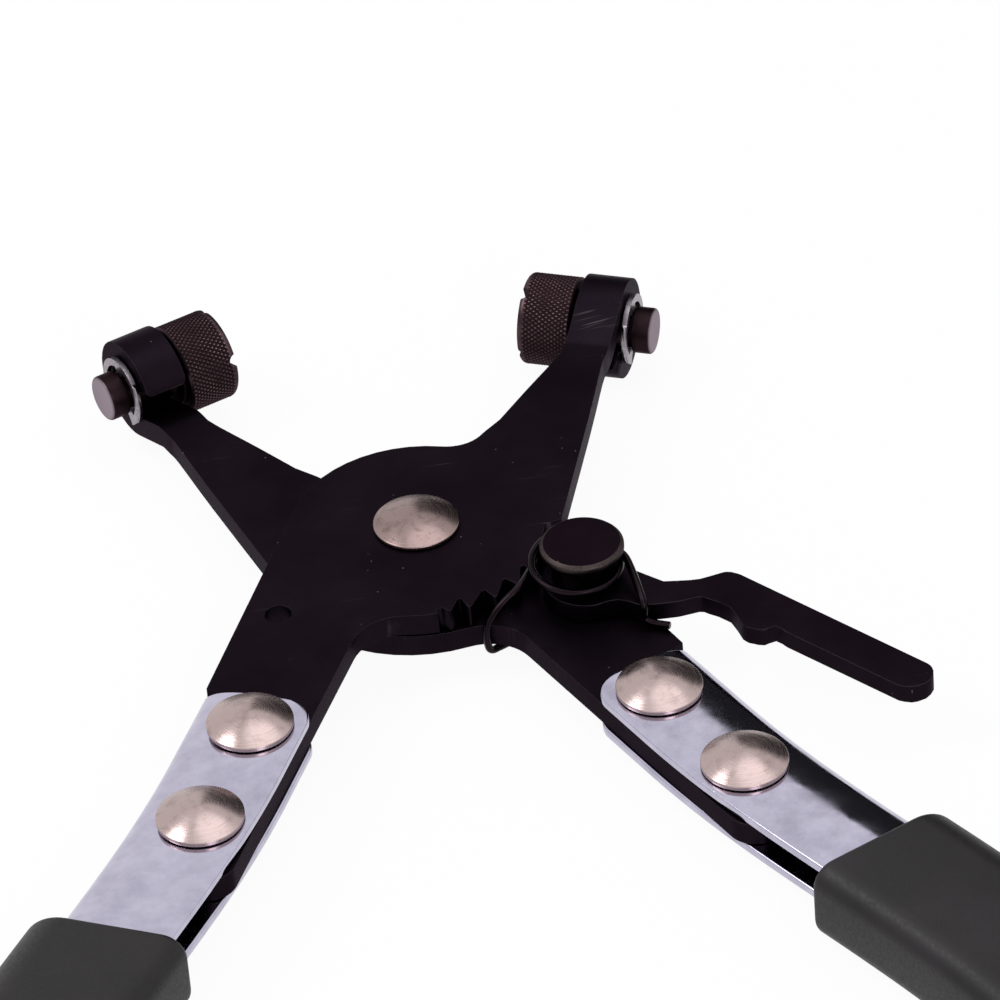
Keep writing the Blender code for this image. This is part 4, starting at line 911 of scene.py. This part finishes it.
def wireGrid(run, size):
    # a circle carried square to the run; both cut ends close on the run, a little beyond it
    wire, ends = size["wire"], len(run) - 1
    way = np.gradient(run, axis=0)
    way /= np.linalg.norm(way, axis=1)[:, None]
    first = np.cross(way, np.array(size["slant"]))
    print("wire frame's least sine:", round(float(np.linalg.norm(first, axis=1).min()), 2))
    first /= np.linalg.norm(first, axis=1)[:, None]
    second = np.cross(way, first)
    turn = np.linspace(0, 2 * math.pi, size["sides"] + 1)
    ring = np.cos(turn)[:, None] * first[:, None] + np.sin(turn)[:, None] * second[:, None]
    rows = np.r_[0, 0, np.arange(len(run)), ends, ends]
    endRadius, endReach = size["endShare"] * wire, size["endReach"]
    radius = np.r_[0, endRadius, np.full(len(run), wire), endRadius, 0]
    shift = np.r_[-endReach, -endReach, np.zeros(len(run)), endReach, endReach]
    middles = run[rows] + way[rows] * shift[:, None]
    length = np.r_[0, np.cumsum(np.linalg.norm(np.diff(run, axis=0), axis=1))][rows, None]
    points = middles[:, None] + ring[rows] * radius[:, None, None]
    return points, ringPoints(1 + 0 * length, turn, length)


points, spin = wireGrid(springRun(spring), spring)
gridPiece("pawlSpring", [points * mm + pivot], springWire, "pawl_spring", "spring_wire",
          spin=[spin])
print("spring made")


# Stage: a plain pale floor, a white background for camera and reflections, soft lamps, and a
# dark flag that only reflections see, which gives the bright metal its dark side
stage = {
    "floorSize": 6.0, "floorLevel": -0.0001, "floorColour": "#f6f5f7", "floorRoughness": 0.9,
    "floorWash": 0.94, "white": (1, 1, 1, 1), "ambient": 0.55,
    "lamps": {
        "keyLamp": ((-0.95, 0.1, 1.25), 0.7, 8.0),
        "frontLamp": ((0.35, -1.1, 0.8), 0.5, 3.0),
        "topLamp": ((0.3, 0.2, 1.5), 1.2, 4.0),
    },
    "flag": {
        "spot": (0.62, 1.15, 0.5), "size": (1.15, 1.0), "colour": "#08070a", "roughness": 0.95},
}


def stageSheet(name, corners, paintName, colour, roughness):
    # one quad of the stage in a matte paint
    mesh = bpy.data.meshes.new(name)
    mesh.from_pydata(corners, [], [(0, 1, 2, 3)])
    piece = bpy.data.objects.new(name, mesh)
    scene.collection.objects.link(piece)
    paint = newMaterial(paintName)
    setInputs(paint.node_tree.nodes["Principled BSDF"], {
        "Base Color": linear(colour), "Roughness": roughness})
    mesh.materials.append(paint)
    return piece


def seenBy(owner, *kinds):
    # 1 for a ray of any of these kinds
    rays = addNode(owner, "LightPath").outputs
    seen = rays[kinds[0]]
    for kind in kinds[1:]:
        seen = addNode(owner, "Math", {0: seen, 1: rays[kind]}, operation="MAXIMUM")
    return seen


def makeFloor():
    half, level = stage["floorSize"] / 2, stage["floorLevel"]
    corners = [(x * half, y * half, level) for x, y in ((-1, -1), (1, -1), (1, 1), (-1, 1))]
    floor = stageSheet(
        "studioFloor", corners, "matteStudioPaint", stage["floorColour"], stage["floorRoughness"])
    paint = floor.data.materials[0]
    wash = addNode(paint, "Emission", {"Color": stage["white"], "Strength": 1.0})
    seen = seenBy(paint, "Is Camera Ray", "Is Glossy Ray")
    share = addNode(paint, "Math", {0: seen, 1: stage["floorWash"]}, operation="MULTIPLY")
    plain = paint.node_tree.nodes["Principled BSDF"]
    both = addNode(paint, "MixShader", {0: share, 1: plain, 2: wash})
    setInputs(paint.node_tree.nodes["Material Output"], {"Surface": both})


def makeFlag():
    flag = stage["flag"]
    wide, tall = flag["size"]
    corners = [(x * wide / 2, 0, z * tall / 2) for x, z in ((-1, -1), (1, -1), (1, 1), (-1, 1))]
    cardPiece = stageSheet(
        "darkFlag", corners, "darkFlagCloth", flag["colour"], flag["roughness"])
    cardPiece.location = flag["spot"]
    cardPiece.rotation_euler = (0, 0, math.atan2(-flag["spot"][0], flag["spot"][1]))
    cardPiece.visible_camera = cardPiece.visible_diffuse = cardPiece.visible_shadow = False


def makeLight():
    for name, (spot, width, power) in stage["lamps"].items():
        lamp = bpy.data.lights.new(name, "AREA")
        lamp.shape, lamp.size, lamp.energy = "DISK", width, power
        made = bpy.data.objects.new(name, lamp)
        scene.collection.objects.link(made)
        made.location = spot
        made.rotation_euler = (-Vector(spot)).to_track_quat("-Z", "Y").to_euler()
    world = bpy.data.worlds.new("whiteStudio")
    scene.world = world
    world.use_nodes = True
    plain = world.node_tree.nodes["Background"]
    setInputs(plain, {"Color": stage["white"], "Strength": stage["ambient"]})
    bright = addNode(world, "Background", {"Color": stage["white"], "Strength": 1.0})
    seen = seenBy(world, "Is Camera Ray", "Is Glossy Ray", "Is Transmission Ray")
    both = addNode(world, "MixShader", {0: seen, 1: plain, 2: bright})
    setInputs(world.node_tree.nodes["World Output"], {"Surface": both})


makeFloor()
makeFlag()
makeLight()
print("stage made")


# Camera: a long lens a metre off, looking down on the pliers a little from the left
view = {
    "elevation": 38.18, "turn": 5.23, "roll": 4.65, "distance": 1000.0, "aside": (11.533, 6.229),
    "lens": 255.6, "sensor": 36.0, "nearest": 0.01,
}


def makeCamera():
    # looks along a direction down by the elevation and round by the turn, then rolls about it
    down, turn, roll = (math.radians(view[key]) for key in ("elevation", "turn", "roll"))
    plan = np.array([math.sin(turn), math.cos(turn), 0.0])
    ahead = plan * math.cos(down) - (0, 0, math.sin(down))
    level = np.array([math.cos(turn), -math.sin(turn), 0.0])
    up = np.cross(level, ahead)
    right = level * math.cos(roll) - up * math.sin(roll)
    top = up * math.cos(roll) + level * math.sin(roll)
    aside = right * view["aside"][0] + top * view["aside"][1]
    lens = bpy.data.cameras.new("photoCamera")
    lens.lens, lens.sensor_width, lens.clip_start = view["lens"], view["sensor"], view["nearest"]
    camera = bpy.data.objects.new("photoCamera", lens)
    scene.collection.objects.link(camera)
    stand = np.eye(4)
    stand[:3, :3] = np.stack([right, top, -ahead], 1)
    stand[:3, 3] = pivot + (aside - ahead * view["distance"]) * mm
    camera.matrix_world = Matrix(stand.tolist())
    scene.camera = camera


makeCamera()
scene.view_settings.view_transform = "Standard"
